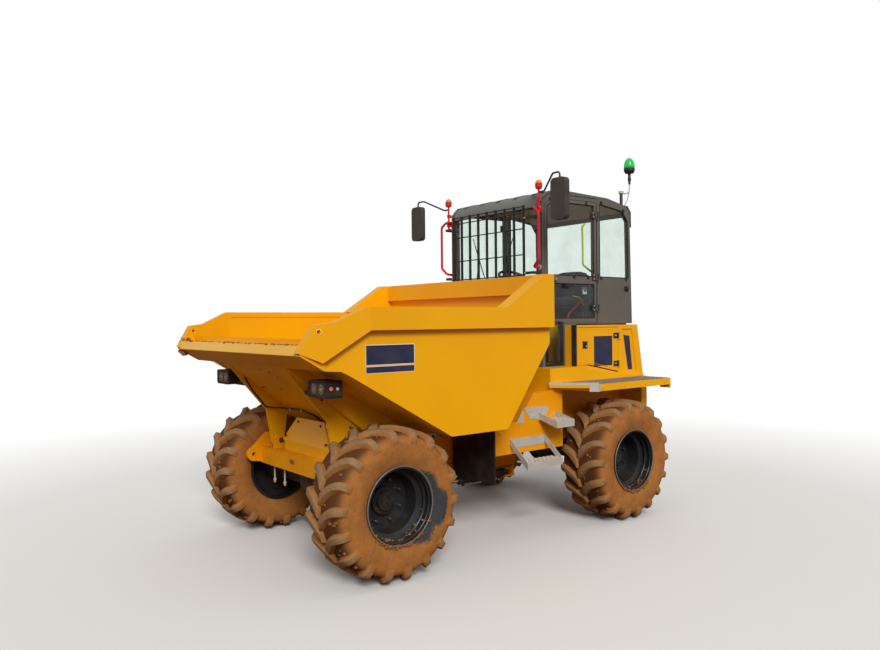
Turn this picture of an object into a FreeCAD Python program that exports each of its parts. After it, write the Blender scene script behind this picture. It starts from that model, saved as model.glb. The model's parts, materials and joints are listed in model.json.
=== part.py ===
import FreeCAD, Part
import Sketcher
import math
import os

# Site dumper with a cab, pivot steered, in millimetres.
# +X is the machine's left, the skip faces -Y, +Z is up and the tyres stand on z = 0.
# Y = 0 is halfway between the skip's lip and the tow hitch.

Vector = FreeCAD.Vector
doc = FreeCAD.newDocument("site_dumper")

# Driving sizes: alias, value, what it is.
sizeTable = [
    ("tyreRadius", 585, "tyre out to the tips of its lugs, standing on the ground"),
    ("tyreHalfWidth", 247, "half the tyre's width over the sidewalls"),
    ("treadHalfWidth", 205, "half the width of the tread"),
    ("lugHeight", 34, "how far a lug stands off the casing"),
    ("lugCount", 18, "lugs on each half of the tread"),
    ("lugWidth", 37, "a lug's top at the shoulder"),
    ("lugLean", 135, "how far a lug's outer end trails behind its inner end"),
    ("tyreWall", 42, "thickness of the casing"),
    ("beadRadius", 288, "where the tyre sits on the rim"),
    ("rimHalfWidth", 232, "half the rim's width"),
    ("rimLipRadius", 300, "outer edge of the rim"),
    ("rimWall", 10, "thickness of the rim's barrel"),
    ("wellRadius", 240, "the rim's drop centre"),
    ("discInset", 40, "wheel disc's outer face, inboard of the tyre's centre plane"),
    ("discPlate", 16, "thickness of the wheel disc"),
    ("hubRadius", 105, "hub end bolted in the wheel disc"),
    ("hubCapRadius", 72, "cap on the hub end"),
    ("spindleRadius", 45, "spindle that the hub turns on"),
    ("spindleLength", 95, "how far the spindle reaches into the hub"),
    ("turningFit", 0.05, "radial clearance of a turning fit"),
    ("turningGap", 0.3, "gap between faces that pass each other"),
    ("trackHalf", 990, "tyre's centre plane from the machine's centre"),
    ("frontAxleY", -1367, "front axle"),
    ("wheelbase", 2785, "front axle to rear axle"),
    ("axleTubeRadius", 72, "axle beam"),
    ("axleEndRadius", 112, "reduction housing inside the rim"),
    ("axleEndLength", 160, "that housing's length"),
    ("differentialRadius", 165, "axle's middle housing"),
    ("differentialHalfWidth", 120, "half that housing's width at its flanges"),

    ("steerPivotY", 25, "vertical pin between the two halves of the chassis"),
    ("steerPinRadius", 35, "that pin"),
    ("tongueRadius", 82, "front half's tongue round the pin"),
    ("tongueLowZ", 565, "underside of the tongue"),
    ("tongueHighZ", 835, "top of the tongue"),
    ("yokePlate", 40, "each of the rear half's two yoke plates"),
    ("yokeGap", 1, "gap between tongue and yoke plate"),

    ("railHalfGap", 300, "inner face of the rear chassis rails"),
    ("railPlate", 40, "thickness of a chassis rail"),
    ("railLowZ", 700, "underside of the rear rails, on the axle pads"),
    ("railHighZ", 1000, "top of the rear rails"),
    ("railFrontY", 180, "front end of the rear rails"),
    ("archWallX", 600, "outer face of the bay walls inside the rear wheels"),
    ("sheet", 12, "plain sheet metal"),
    ("tankFrontY", -85, "front of the side tanks"),
    ("tankRearY", 790, "rear of the side tanks, ahead of the rear tyres"),
    ("tankLowZ", 750, "underside of the side tanks"),
    ("tankKneeZ", 1035, "top of the tanks' nose, under the skip"),
    ("tankKneeY", 200, "where the tanks' front starts to rise"),
    ("tankTopY", 410, "where the tanks' sloped front meets the platform"),
    ("deckLowZ", 1290, "underside of deck and platform"),
    ("deckTopZ", 1355, "top of the decks"),
    ("deckOuterX", 1220, "outer edge of the decks"),
    ("deckFrontY", 930, "front outer corner of a deck"),
    ("deckInnerFrontY", 726, "front inner corner of a deck"),
    ("deckRearY", 2020, "rear edge of the decks"),
    ("deckRearLip", 34, "extra depth of the skirt at the rear corner"),
    ("platformHalfWidth", 860, "platform, sills, side tanks and counterweight"),
    ("platformFrontY", 626, "front of the platform"),
    ("platformRearY", 1171, "rear of the footwell"),
    ("platformTopZ", 1500, "footwell floor"),
    ("upperStepY", 456, "front end of the upper step"),
    ("upperStepLength", 234, "its tread, front to back"),
    ("upperStepReach", 240, "its outer edge from the tank's side"),
    ("upperStepZ", 1038, "top of its tread"),
    ("lowerStepY", 87, "front end of the lower step"),
    ("lowerStepLength", 448, "its tread, front to back"),
    ("lowerStepReach", 230, "its outer edge from the tank's side"),
    ("lowerStepWidth", 140, "width of its tread"),
    ("lowerStepZ", 700, "top of its tread"),
    ("stepFace", 62, "depth of the steps' turned-down edge"),
    ("stepPlate", 8, "plate that the steps are made of"),
    ("flapLowZ", 500, "lower edge of the rubber flaps"),
    ("counterweightRearY", 2112, "rear face of the counterweight"),
    ("counterweightLowZ", 640, "underside of the counterweight"),
    ("hitchRearY", 2195, "rear end of the tow hitch, as far back as the lip is forward"),
    ("hitchPinRadius", 20, "bore for the tow pin"),
    ("hitchJaw", 80, "opening between the hitch's plates"),

    ("hoodLedge", 40, "how far the platform stands out beyond the engine cover's side"),
    ("hoodFrontY", 1030, "front face of the engine cover beside the footwell"),
    ("hoodTopZ", 1905, "top of the engine cover"),
    ("hoodTopRearY", 2010, "rear face of the engine cover at its top"),
    ("hoodWall", 20, "wall of the engine cover"),
    ("accessRearY", 1690, "hinge side of the engine access doors"),
    ("accessMargin", 22, "cover's frame round the access door"),
    ("doorGap", 4, "gap round a door"),
    ("accessHingeRadius", 9, "knuckles of the access doors"),

    ("cabSetIn", 135, "how far the cab's sides stand in from the engine cover's"),
    ("cabFrontY", 700, "front plane of the cab"),
    ("cabRearY", 2100, "rear plane of the cab"),
    ("cabRoofZ", 3255, "highest line of the roof"),
    ("cabRoofRearZ", 3190, "roof at its rear end"),
    ("cabFloorZ", 1917, "underside of the cab over the engine"),
    ("cabPillar", 45, "width and depth of a pillar"),
    ("pillarMidY", 1525, "middle pillar"),
    ("waistZ", 2385, "seam between upper glass and lower panel"),
    ("doorRail", 34, "frame round a door's glass"),
    ("glassPane", 8, "thickness of a pane"),
    ("doorHingeRadius", 11, "knuckles of the cab doors"),
    ("seatFrontY", 1400, "front of the seat's cushion"),
    ("seatDepth", 480, "cushion, front to back"),
    ("seatHalfWidth", 240, "half the cushion's width"),
    ("guardY", 610, "plane of the front guard"),
    ("guardSetIn", 147, "how far the guard's outer bars stand in from the cab's sides"),
    ("guardLowZ", 2392, "lower edge of the guard"),
    ("guardHighZ", 3085, "upper edge of the guard"),
    ("guardBarWidth", 8, "guard's upright flat bars, seen from the front"),
    ("guardBarDepth", 30, "those bars, front to back"),
    ("guardRod", 6, "radius of the guard's level rods"),
    ("handrailRadius", 13, "grab rails"),
    ("mirrorArmRadius", 9, "mirror arms"),

    ("skipHalfWidth", 1240, "side panel's outer face"),
    ("skipPlate", 10, "plate that the skip is made of"),
    ("hopperHalfWidth", 620, "narrow part between the front tyres"),
    ("skipFloorZ", 1055, "underside of the skip's floor"),
    ("skipFloorFrontY", -1280, "front end of the floor between the tyres"),
    ("skipWheelY", -885, "where the underside starts to rise over the tyres"),
    ("skipFloorRearY", -287, "rear end of the floor"),
    ("skipNoseY", -1860, "front end of the slope over the tyres"),
    ("skipNoseZ", 1607, "height there"),
    ("skipLipLowY", -1990, "rear lower corner of the lip"),
    ("skipLipLowZ", 1614, "height there"),
    ("skipRearY", 219, "rear wall"),
    ("skipRearKneeZ", 1754, "where the rear wall turns upright"),
    ("rimTopZ", 2066, "top of the skip's side rims"),
    ("rimDepth", 170, "depth of the side rims"),
    ("rimOut", 60, "how far the rims stand off the side panels"),
    ("rimKinkY", -1690, "where a rim starts to fall to the lip"),
    ("rimShoulderY", -1940, "shoulder beside the tie hole"),
    ("rimShoulderZ", 1954, "height there"),
    ("rimEndY", -2080, "front upper corner of a rim"),
    ("rimEndZ", 1938, "height there"),
    ("lipTipY", -2195, "foremost point of the skip"),
    ("lipTipZ", 1745, "height there"),
    ("rimTipLowY", -2020, "rim's open end, lower corner"),
    ("rimTipLowZ", 1673, "height there"),
    ("lipInset", 35, "how far each side of the skip has come in at the lip's tip"),
    ("headboardTopZ", 2355, "top of the skip's rear wall"),
    ("headboardFootY", -341, "front foot of the headboard's side cheeks"),
    ("headboardCheekY", 110, "rear end of the cheeks' slope"),
    ("headboardBand", 165, "depth of the headboard's folded rim"),
    ("headboardFold", 60, "thickness of that rim"),
    ("cheekWidth", 130, "thickness of the cheeks"),
    ("tieHoleRadius", 14, "hole in each front end of the rims"),
    ("lampFrontY", -1880, "front of the headlamps under the skip's sides"),
    ("gussetX", 550, "middle of the gusset plates under the skip"),
    ("gussetPlate", 30, "thickness of a gusset"),

    ("tipPivotY", -1500, "tipping pins"),
    ("tipPivotZ", 890, "height of the tipping pins"),
    ("tipPinRadius", 25, "tipping pins"),
    ("tipEarRadius", 62, "boss round a tipping pin"),
    ("frontPlateX", 700, "outer face of the front chassis side plates"),
    ("frontPlate", 36, "thickness of those plates"),
    ("frontNoseY", -1680, "centre of the rounded nose and its tie-down hole"),
    ("frontNoseZ", 757, "height there"),
    ("frontNoseRadius", 62, "rounded nose"),
    ("tieDownRadius", 19, "tie-down hole"),
    ("frontFrameLowZ", 672, "underside of the front chassis, on its axle pads"),
    ("frontFrameHighZ", 835, "top of the front chassis"),
    ("frontFrameRearY", -760, "rear cross member of the front chassis"),
    ("beamFrontY", -1600, "front face of the cross beam"),
    ("beamDepth", 150, "cross beam front to back"),
    ("spineHalfWidth", 95, "spine that runs back to the tongue"),

    ("tipRamFootY", -450, "lower pin of the tipping ram"),
    ("tipRamFootZ", 470, "height there"),
    ("tipRamHeadY", -1200, "rod's eye under the skip"),
    ("tipRamHeadZ", 960, "height there"),
    ("tipBarrelRadius", 58, "tipping ram's barrel"),
    ("tipRodRadius", 32, "tipping ram's rod"),
    ("tipBarrelLength", 800, "tipping ram's barrel, pin to gland"),
    ("tipRodStart", 118, "inner end of its rod, closed, from the lower pin"),
    ("steerRamFrontX", 340, "steering ram's eye on the front half"),
    ("steerRamFrontY", -420, "that eye, front to back"),
    ("steerRamRearX", 300, "steering ram's pin on the rear half"),
    ("steerRamRearY", 560, "that pin, front to back"),
    ("steerRamZ", 450, "height of the steering ram, below the chassis"),
    ("steerBarrelRadius", 38, "steering ram's barrel"),
    ("steerRodRadius", 20, "steering ram's rod"),
    ("steerBarrelLength", 640, "steering ram's barrel, pin to gland"),
    ("steerRodStart", 280, "inner end of its rod, steered straight, from the rear pin"),
    ("ramPinRadius", 18, "pins of the rams"),
    ("ramEyeHalf", 24, "half the width of the steering ram's eyes"),
]

sheet = doc.addObject("Spreadsheet::Sheet", "Sizes")
for row, (alias, value, note) in enumerate(sizeTable, start=2):
    sheet.set(f"A{row}", note)
    sheet.set(f"B{row}", str(value))
    sheet.setAlias(f"B{row}", alias)
doc.recompute()


class Size(float):
    """A number from the sheet that also remembers its formula, for setExpression."""

    def __new__(cls, value, formula):
        size = super().__new__(cls, value)
        size.formula = formula
        return size

    def __add__(self, other):
        return Size(float(self) + float(other), f"({self.formula} + {formulaOf(other)})")

    def __radd__(self, other):
        return Size(float(other) + float(self), f"({formulaOf(other)} + {self.formula})")

    def __sub__(self, other):
        return Size(float(self) - float(other), f"({self.formula} - {formulaOf(other)})")

    def __rsub__(self, other):
        return Size(float(other) - float(self), f"({formulaOf(other)} - {self.formula})")

    def __mul__(self, other):
        return Size(float(self) * float(other), f"({self.formula} * {formulaOf(other)})")

    __rmul__ = __mul__

    def __truediv__(self, other):
        return Size(float(self) / float(other), f"({self.formula} / {formulaOf(other)})")

    def __neg__(self):
        return Size(-float(self), f"(0 - {self.formula})")


def formulaOf(number):
    return number.formula if isinstance(number, Size) else f"({float(number):.9f})"


class Sizes:
    """The sheet's cells by name."""

    def __getattr__(self, alias):
        return Size(float(sheet.get(alias)), f"Sizes.{alias}")


v = Sizes()
hoodHalfWidth = v.platformHalfWidth - v.hoodLedge
cabHalfWidth = hoodHalfWidth - v.cabSetIn
guardHalfWidth = cabHalfWidth - v.guardSetIn
lipHalfWidth = v.skipHalfWidth - v.lipInset


# Building blocks. Each binds what it is given to the sheet.

def bind(thing, **places):
    for place, number in places.items():
        path = place.replace("_", ".")
        if isinstance(number, Size):
            thing.setExpression(path, number.formula)
        elif "." in path:
            thing.setExpression(path, formulaOf(number))
        else:
            setattr(thing, path, float(number))
    return thing


def put(thing, x=0, y=0, z=0):
    return bind(thing, Placement_Base_x=x, Placement_Base_y=y, Placement_Base_z=z)


def block(name, x, y, z):
    """A box between two values on each axis."""
    box = doc.addObject("Part::Box", name)
    bind(box, Length=x[1] - x[0], Width=y[1] - y[0], Height=z[1] - z[0])
    return put(box, x[0], y[0], z[0])


turns = {
    "X": FreeCAD.Rotation(Vector(0, 1, 0), 90),
    "Y": FreeCAD.Rotation(Vector(1, 0, 0), -90),
    "Z": FreeCAD.Rotation(),
}


def rod(name, axis, radius, start, length, x=0, y=0, z=0):
    """A cylinder along an axis, from start, through the other two coordinates."""
    bar = doc.addObject("Part::Cylinder", name)
    bar.Placement = FreeCAD.Placement(Vector(), turns[axis])
    bind(bar, Radius=radius, Height=length)
    where = {"X": (start, y, z), "Y": (x, start, z), "Z": (x, y, start)}[axis]
    return put(bar, *where)


# Sketch planes: the sketch's two axes and its normal are X, Y and Z of the machine in this order.
planes = {
    "side": FreeCAD.Rotation(Vector(0, 1, 0), Vector(0, 0, 1), Vector(1, 0, 0), "ZXY"),
    "plan": FreeCAD.Rotation(),
    "front": FreeCAD.Rotation(Vector(1, 0, 0), Vector(0, 0, 1), Vector(0, -1, 0), "ZXY"),
}
normals = {"side": Vector(1, 0, 0), "plan": Vector(0, 0, 1), "front": Vector(0, -1, 0)}


def drawOutline(sketch, points):
    """A closed polygon, with each corner held by two dimensions."""
    count = len(points)
    for i in range(count):
        a, b = points[i], points[(i + 1) % count]
        sketch.addGeometry(Part.LineSegment(Vector(a[0], a[1], 0), Vector(b[0], b[1], 0)), False)
    for i in range(count):
        sketch.addConstraint(Sketcher.Constraint("Coincident", i, 2, (i + 1) % count, 1))
    for i, corner in enumerate(points):
        for kind, word, number in (("DistanceX", "across", corner[0]), ("DistanceY", "up", corner[1])):
            held = sketch.addConstraint(Sketcher.Constraint(kind, -1, 1, i, 1, float(number)))
            sketch.renameConstraint(held, f"{word}{i}")
            if isinstance(number, Size):
                sketch.setExpression(f"Constraints.{word}{i}", number.formula)
    return sketch


def prism(name, plane, points, start, end, rounds=None):
    """A polygon drawn on a plane and extruded between two values along the plane's normal.
    rounds gives corners, by their place in the polygon, a radius."""
    sketch = doc.addObject("Sketcher::SketchObject", name + "_outline")
    sketch.Placement = FreeCAD.Placement(Vector(), planes[plane])
    drawOutline(sketch, points)
    solid = doc.addObject("Part::Extrusion", name + "_sharp" if rounds else name)
    solid.Base = sketch
    solid.DirMode = "Normal"
    solid.Solid = True
    bind(solid, LengthFwd=end - start)
    axis = {"side": "x", "plan": "z", "front": "y"}[plane]
    offset = -start if plane == "front" else start
    bind(solid, **{"Placement_Base_" + axis: offset})
    if not rounds:
        return solid
    doc.recompute()
    corners = {index: sketch.Placement.multVec(Vector(*points[index], 0)) for index in rounds}
    edges = []
    for number, edge in enumerate(solid.Shape.Edges, start=1):
        ends = [vertex.Point for vertex in edge.Vertexes]
        if len(ends) != 2 or (ends[1] - ends[0]).cross(normals[plane]).Length > 1e-3:
            continue
        for index, corner in corners.items():
            if (ends[0] - corner).cross(normals[plane]).Length < 1e-3:
                edges.append((number, float(rounds[index]), float(rounds[index])))
    rounded = doc.addObject("Part::Fillet", name)
    rounded.Base = solid
    rounded.Edges = edges
    return rounded


def inset(points, walls):
    """The polygon with each edge moved inwards by its own wall, a Size. Edge i starts at point i."""
    count = len(points)
    area = sum(points[i][0] * points[(i + 1) % count][1] - points[(i + 1) % count][0] * points[i][1]
               for i in range(count))
    turn = 1 if float(area) > 0 else -1
    normal = []
    for i in range(count):
        dx = float(points[(i + 1) % count][0] - points[i][0])
        dy = float(points[(i + 1) % count][1] - points[i][1])
        length = math.hypot(dx, dy)
        normal.append((-turn * dy / length, turn * dx / length))
    moved = []
    for i in range(count):
        (ax, ay), (bx, by) = normal[i - 1], normal[i]
        before, after = walls[i - 1], walls[i]
        cross = ax * by - ay * bx
        moved.append((points[i][0] + before * (by / cross) - after * (ay / cross),
                      points[i][1] - before * (bx / cross) + after * (ax / cross)))
    return moved


def fuse(name, *things):
    whole = doc.addObject("Part::MultiFuse", name)
    whole.Shapes = list(things)
    whole.Refine = True
    return whole


def cut(name, base, *tools):
    for count, tool in enumerate(tools):
        last = count == len(tools) - 1
        part = doc.addObject("Part::Cut", name if last else name + "_cut")
        part.Base = base
        part.Tool = tool
        part.Refine = True
        base = part
    return base


def common(name, *things):
    shared = doc.addObject("Part::MultiCommon", name)
    shared.Shapes = list(things)
    return shared


def mirror(name, thing):
    other = doc.addObject("Part::Mirroring", name)
    other.Source = thing
    other.Normal = Vector(1, 0, 0)
    return other


def both(name, thing):
    """The thing and its mirror image, as two solids of one piece or fused where they meet."""
    return fuse(name, thing, mirror(name + "_right", thing))


def rounded(name, thing, z, radius):
    """The thing with its edges at one height rounded."""
    doc.recompute()
    soft = doc.addObject("Part::Fillet", name)
    soft.Base = thing
    soft.Edges = [(i, radius, radius) for i, edge in enumerate(thing.Shape.Edges, start=1)
                  if abs(edge.BoundBox.ZMin - z) < 0.01]
    return soft


def shaped(name, shape):
    piece = doc.addObject("Part::Feature", name)
    piece.Shape = shape
    return piece


def tubeShape(points, radius, bend):
    """A round tube along straight runs joined by arcs of one bend radius."""
    route = []
    last = Vector(*points[0])
    for before, corner, after in zip(points, points[1:], points[2:]):
        corner = Vector(*corner)
        back = (Vector(*before) - corner).normalize()
        ahead = (Vector(*after) - corner).normalize()
        half = back.getAngle(ahead) / 2
        reach = bend / math.tan(half)
        middle = (back + ahead).normalize() * (bend / math.sin(half) - bend)
        first, second = corner + back * reach, corner + ahead * reach
        route.append(Part.LineSegment(last, first).toShape())
        route.append(Part.Arc(first, corner + middle, second).toShape())
        last = second
    route.append(Part.LineSegment(last, Vector(*points[-1])).toShape())
    path = Part.Wire(route)
    start = Vector(*points[0])
    ring = Part.Wire(Part.Circle(start, Vector(*points[1]) - start, radius).toShape())
    return path.makePipeShell([ring], True, False, 2)


def tube(name, points, radius, bend):
    return shaped(name, tubeShape(points, float(radius), float(bend)))


pieces = []


def keep(piece, label=None):
    """Marks an object as a piece of the dumper, which gets a file of its own."""
    piece.Label = label or piece.Name
    pieces.append(piece)
    return piece


rearAxleY = v.frontAxleY + v.wheelbase
axleZ = v.tyreRadius
hubBack = v.discInset + v.discPlate + v.spindleLength / 2


# Wheels

def ringSpot(x, radius, angle):
    """A corner about the axle, with its angle."""
    return angle, Vector(x, radius * math.cos(angle), radius * math.sin(angle))


def strip(first, second):
    """Four-sided faces between two rings with the same number of corners."""
    count = len(first)
    return [[first[i][1], first[(i + 1) % count][1], second[(i + 1) % count][1], second[i][1]]
            for i in range(count)]


def zipper(first, second):
    """Triangles between two rings: each step goes on along the ring whose next corner comes first."""
    def spot(ring, i):
        angle, corner = ring[i % len(ring)]
        return angle + math.tau * (i // len(ring)), corner

    faces = []
    i = j = 0
    while i < len(first) or j < len(second):
        (aheadFirst, nextFirst), (aheadSecond, nextSecond) = spot(first, i + 1), spot(second, j + 1)
        onFirst = j == len(second) or (i < len(first) and aheadFirst < aheadSecond)
        faces.append([spot(first, i)[1], spot(second, j)[1], nextFirst if onFirst else nextSecond])
        if onFirst:
            i += 1
        else:
            j += 1
    return faces


def tyreShape():
    """Casing and lugs as one faceted hollow body. Each half has a ring of lugs that trail towards
    the shoulder and run down on the sidewall; the two rings are half a pitch apart."""
    r, w, tread = float(v.tyreRadius), float(v.tyreHalfWidth), float(v.treadHalfWidth)
    height, wall, top = float(v.lugHeight), float(v.tyreWall), float(v.lugWidth)
    count = int(v.lugCount)
    lean = float(v.lugLean) / r
    seat = float(v.rimHalfWidth - v.rimWall) - 4
    beadSides = 24
    bead = (float(v.beadRadius) + 0.1) / math.cos(math.pi / beadSides)
    rows = [
        # foot x and radius, top x and radius, share of the lean, width of the top
        (4, r - height, 4, r, 0, top * 1.4),
        (tread / 2, r - height - 3, tread / 2, r - 2, 0.68, top * 1.1),
        (tread, r - height - 25, tread + 9, r - height / 2, 0.98, top),
        (w - 5, r - height * 3, w, r - height * 2, 1, top),
    ]
    faces = []
    crowns, linings = [], []
    for side in (1, -1):
        start = -math.pi / 2 - (math.pi / count if side < 0 else 0)
        rings = []
        for footX, foot, topX, tip, share, width in rows:
            half = width / 2 / tip
            tip = tip / math.cos(half)
            ring = []
            for lug in range(count):
                middle = start + math.tau * lug / count - lean * share
                ring += [ringSpot(side * footX, foot, middle - 1.5 * half),
                         ringSpot(side * topX, tip, middle - half),
                         ringSpot(side * topX, tip, middle + half),
                         ringSpot(side * footX, foot, middle + 1.5 * half)]
            rings.append(ring)
        for inner, outer in zip(rings, rings[1:]):
            for a, b, c, d in strip(inner, outer):
                faces += [[a, b, c], [a, c, d]]
        for ring in (rings[0], rings[-1]):
            faces += [[spot[1] for spot in ring[i:i + 4]] for i in range(0, 4 * count, 4)]
        feet = [[spot for i, spot in enumerate(ring) if i % 4 in (0, 3)] for ring in (rings[0], rings[-1])]
        belly = [ringSpot(side * w, (r + bead) / 2 - 12, start - lean + math.tau * i / count)
                 for i in range(count)]
        around = [-math.pi / 2 - lean + math.tau * i / beadSides for i in range(beadSides)]
        heel = [ringSpot(side * seat, bead, angle) for angle in around]
        toe = [ringSpot(side * (seat - wall), bead, angle) for angle in around]
        lining = [ringSpot(side * (tread - 15), r - height - wall - 9, angle) for angle in around[::2]]
        faces += zipper(feet[1], belly) + zipper(belly, heel) + strip(heel, toe) + zipper(toe, lining)
        crowns.append(feet[0])
        linings.append(lining)
    faces += zipper(*crowns) + strip(*linings)
    shell = Part.makeShell([Part.Face(Part.makePolygon(corners + corners[:1])) for corners in faces])
    shell.sewShape()
    solid = Part.makeSolid(shell)
    if solid.Volume < 0:
        solid.reverse()
    return solid


def turnedBody(name, profile):
    """A body turned about X from a half section of (x, radius) points."""
    body = doc.addObject("PartDesign::Body", name)
    sketch = body.newObject("Sketcher::SketchObject", name + "_section")
    plane = next(f for f in body.Origin.OriginFeatures if f.Role == "XZ_Plane")
    sketch.AttachmentSupport = (plane, [""])
    sketch.MapMode = "FlatFace"
    drawOutline(sketch, profile)
    turned = body.newObject("PartDesign::Revolution", name + "_turned")
    turned.Profile = sketch
    turned.ReferenceAxis = (sketch, ["H_Axis"])
    turned.Angle = 360
    return body


def rimBody(name):
    """Rim, disc and hub end, one turned piece; the sketch's first axis is the axle, outwards."""
    lip, width, wall, well = v.rimLipRadius, v.rimHalfWidth, v.rimWall, v.wellRadius
    bead, disc, plate = v.beadRadius, v.discInset, v.discPlate
    hubIn = disc + plate + v.spindleLength / 2
    hubDeep = v.spindleLength - hubIn
    profile = [
        (width, lip), (width - wall, lip), (width - wall, bead), (width / 2, bead),
        (width / 2 - 24, well), (-width / 4, well), (-width / 2, bead), (wall - width, bead),
        (wall - width, lip), (-width, lip), (-width, bead - wall), (-width / 2 - wall, bead - wall),
        (-width / 4 - wall, well - wall), (-disc - plate, well - wall), (-disc - plate, v.hubRadius),
        (-hubIn, v.hubRadius), (-hubIn, v.spindleRadius + v.turningFit),
        (hubDeep + v.turningGap, v.spindleRadius + v.turningFit), (hubDeep + v.turningGap, 0),
        (hubDeep + 40, 0), (hubDeep + 40, v.hubCapRadius), (hubDeep + 12, v.hubCapRadius),
        (hubDeep + 12, v.hubRadius), (-disc, v.hubRadius), (-disc, well - wall),
        (width / 2 - 24 + wall, well - wall), (width / 2 + wall, bead - wall), (width, bead - wall),
    ]
    return turnedBody(name, profile)


wheelPlaces = [
    # name, side of the machine, axle
    ("front_left", 1, v.frontAxleY),
    ("front_right", -1, v.frontAxleY),
    ("rear_left", 1, rearAxleY),
    ("rear_right", -1, rearAxleY),
]
wheelTyre = tyreShape()
for place, side, axleY in wheelPlaces:
    tyre = keep(shaped("tyre_" + place, wheelTyre))
    put(tyre, v.trackHalf * side, axleY, axleZ)
    rim = keep(rimBody("rim_" + place))
    if side < 0:
        rim.Placement = FreeCAD.Placement(Vector(), FreeCAD.Rotation(Vector(0, 0, 1), 180))
    put(rim, v.trackHalf * side, axleY, axleZ)


# Axles

def axle(name, y, padX, padTopZ):
    """Beam, middle housing, reduction ends and spindles; flat pads carry the chassis."""
    hubFace = v.trackHalf - hubBack - v.turningGap
    endStart = hubFace - v.axleEndLength
    half = [
        (v.differentialHalfWidth / 2, v.differentialRadius),
        (v.differentialHalfWidth, v.differentialRadius * 0.8),
        (v.differentialHalfWidth + 60, v.axleTubeRadius + 10), (endStart - 20, v.axleTubeRadius),
        (endStart, v.axleEndRadius), (hubFace, v.axleEndRadius), (hubFace, v.spindleRadius),
        (hubFace + v.spindleLength, v.spindleRadius), (hubFace + v.spindleLength, 0),
    ]
    beam = turnedBody(name + "_beam", half + [(-x, radius) for x, radius in reversed(half)])
    put(beam, 0, y, axleZ)
    pad = block(name + "_pad", padX, (y - 60, y + 60), (axleZ, padTopZ))
    return keep(fuse(name, beam, pad, mirror(name + "_pad_right", pad)))


axle("rear_axle", rearAxleY, (v.railHalfGap - 10, v.railHalfGap + v.railPlate + 10), v.railLowZ)
axle("front_axle", v.frontAxleY, (v.frontPlateX - v.frontPlate - 60, v.frontPlateX), v.frontFrameLowZ)


# Rear half of the chassis

yokeLowZ = v.tongueLowZ - v.yokeGap
yokeHighZ = v.tongueHighZ + v.yokeGap


def yokePlate(name, z):
    shape = [(-v.tongueRadius, v.steerPivotY), (-v.railHalfGap, v.railFrontY + 20),
             (-v.railHalfGap, v.railFrontY + v.railPlate), (v.railHalfGap, v.railFrontY + v.railPlate),
             (v.railHalfGap, v.railFrontY + 20), (v.tongueRadius, v.steerPivotY)]
    plate = prism(name + "_plate", "plan", shape, z[0], z[1])
    nose = rod(name + "_nose", "Z", v.tongueRadius, z[0], z[1] - z[0], y=v.steerPivotY)
    bore = rod(name + "_bore", "Z", v.steerPinRadius + v.turningFit, z[0] - 5, z[1] - z[0] + 10,
               y=v.steerPivotY)
    return cut(name, fuse(name + "_whole", plate, nose), bore)


yokeTop = yokePlate("yoke_top", (yokeHighZ, yokeHighZ + v.yokePlate))
yokeBottom = yokePlate("yoke_bottom", (yokeLowZ - v.yokePlate, yokeLowZ))
frontWall = block("rear_frame_front", (-v.railHalfGap - v.railPlate, v.railHalfGap + v.railPlate),
                  (v.railFrontY + 20, v.railFrontY + 20 + v.railPlate),
                  (yokeLowZ - v.yokePlate, v.railHighZ))
railShape = [(v.railFrontY + 20, yokeLowZ - v.yokePlate), (v.railFrontY + 20, v.railHighZ),
             (v.deckRearY, v.railHighZ), (v.deckRearY, v.railLowZ),
             (v.railFrontY + 560, v.railLowZ), (v.railFrontY + 460, yokeLowZ - v.yokePlate)]
rail = prism("rail", "side", railShape, v.railHalfGap, v.railHalfGap + v.railPlate)
bayShape = [(v.tankTopY, v.railHighZ - 60), (v.tankTopY, v.deckLowZ),
            (v.deckRearY, v.deckLowZ), (v.deckRearY, v.railHighZ - 60)]
bayWall = prism("bay_wall", "side", bayShape, v.archWallX - v.sheet, v.archWallX)
bayFloor = block("bay_floor", (v.railHalfGap, v.archWallX), (v.tankTopY, v.deckRearY),
                 (v.railHighZ - 60, v.railHighZ - 60 + v.sheet))
sideFrame = fuse("side_frame", rail, bayWall, bayFloor)


def ramFork(name, x, y, pinX, pinY):
    """Two plates above and below the steering ram's eye, with the pin's heads outside them."""
    gap = v.ramEyeHalf + 3
    parts = [rod(f"{name}_head_{word}", "Z", v.ramPinRadius + 6, z, 8, x=pinX, y=pinY)
             for word, z in (("low", v.steerRamZ - gap - 22), ("high", v.steerRamZ + gap + 14))]
    for word, z in (("low", v.steerRamZ - gap - 16), ("high", v.steerRamZ + gap)):
        parts.append(block(f"{name}_{word}", x, y, (z, z + 16)))
    return parts


rearFork = ramFork("rear_fork", (v.steerRamRearX - 38, v.railHalfGap + v.railPlate),
                   (v.steerRamRearY - 24, v.steerRamRearY + 80), v.steerRamRearX, v.steerRamRearY)
rearForkWeb = block("rear_fork_web", (v.steerRamRearX - 38, v.railHalfGap + v.railPlate),
                    (v.steerRamRearY + 45, v.steerRamRearY + 80),
                    (v.steerRamZ - 42, yokeLowZ - v.yokePlate + 30))
engineLowZ = axleZ + v.differentialRadius + 20
bearers = []
for i, y in enumerate((rearAxleY + v.differentialRadius + 50, v.deckRearY - 180)):
    bearers.append(block(f"engine_bearer_{i}", (-v.railHalfGap, v.railHalfGap), (y, y + 50),
                         (engineLowZ - 40, engineLowZ)))
rearForkPin = rod("rear_fork_pin", "Z", v.ramPinRadius, v.steerRamZ - v.ramEyeHalf - 10,
                  v.ramEyeHalf * 2 + 20, x=v.steerRamRearX, y=v.steerRamRearY)
keep(fuse("rear_frame", *bearers, yokeTop, yokeBottom, frontWall, sideFrame,
          mirror("side_frame_right", sideFrame), rearForkWeb, *rearFork, rearForkPin))
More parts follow.
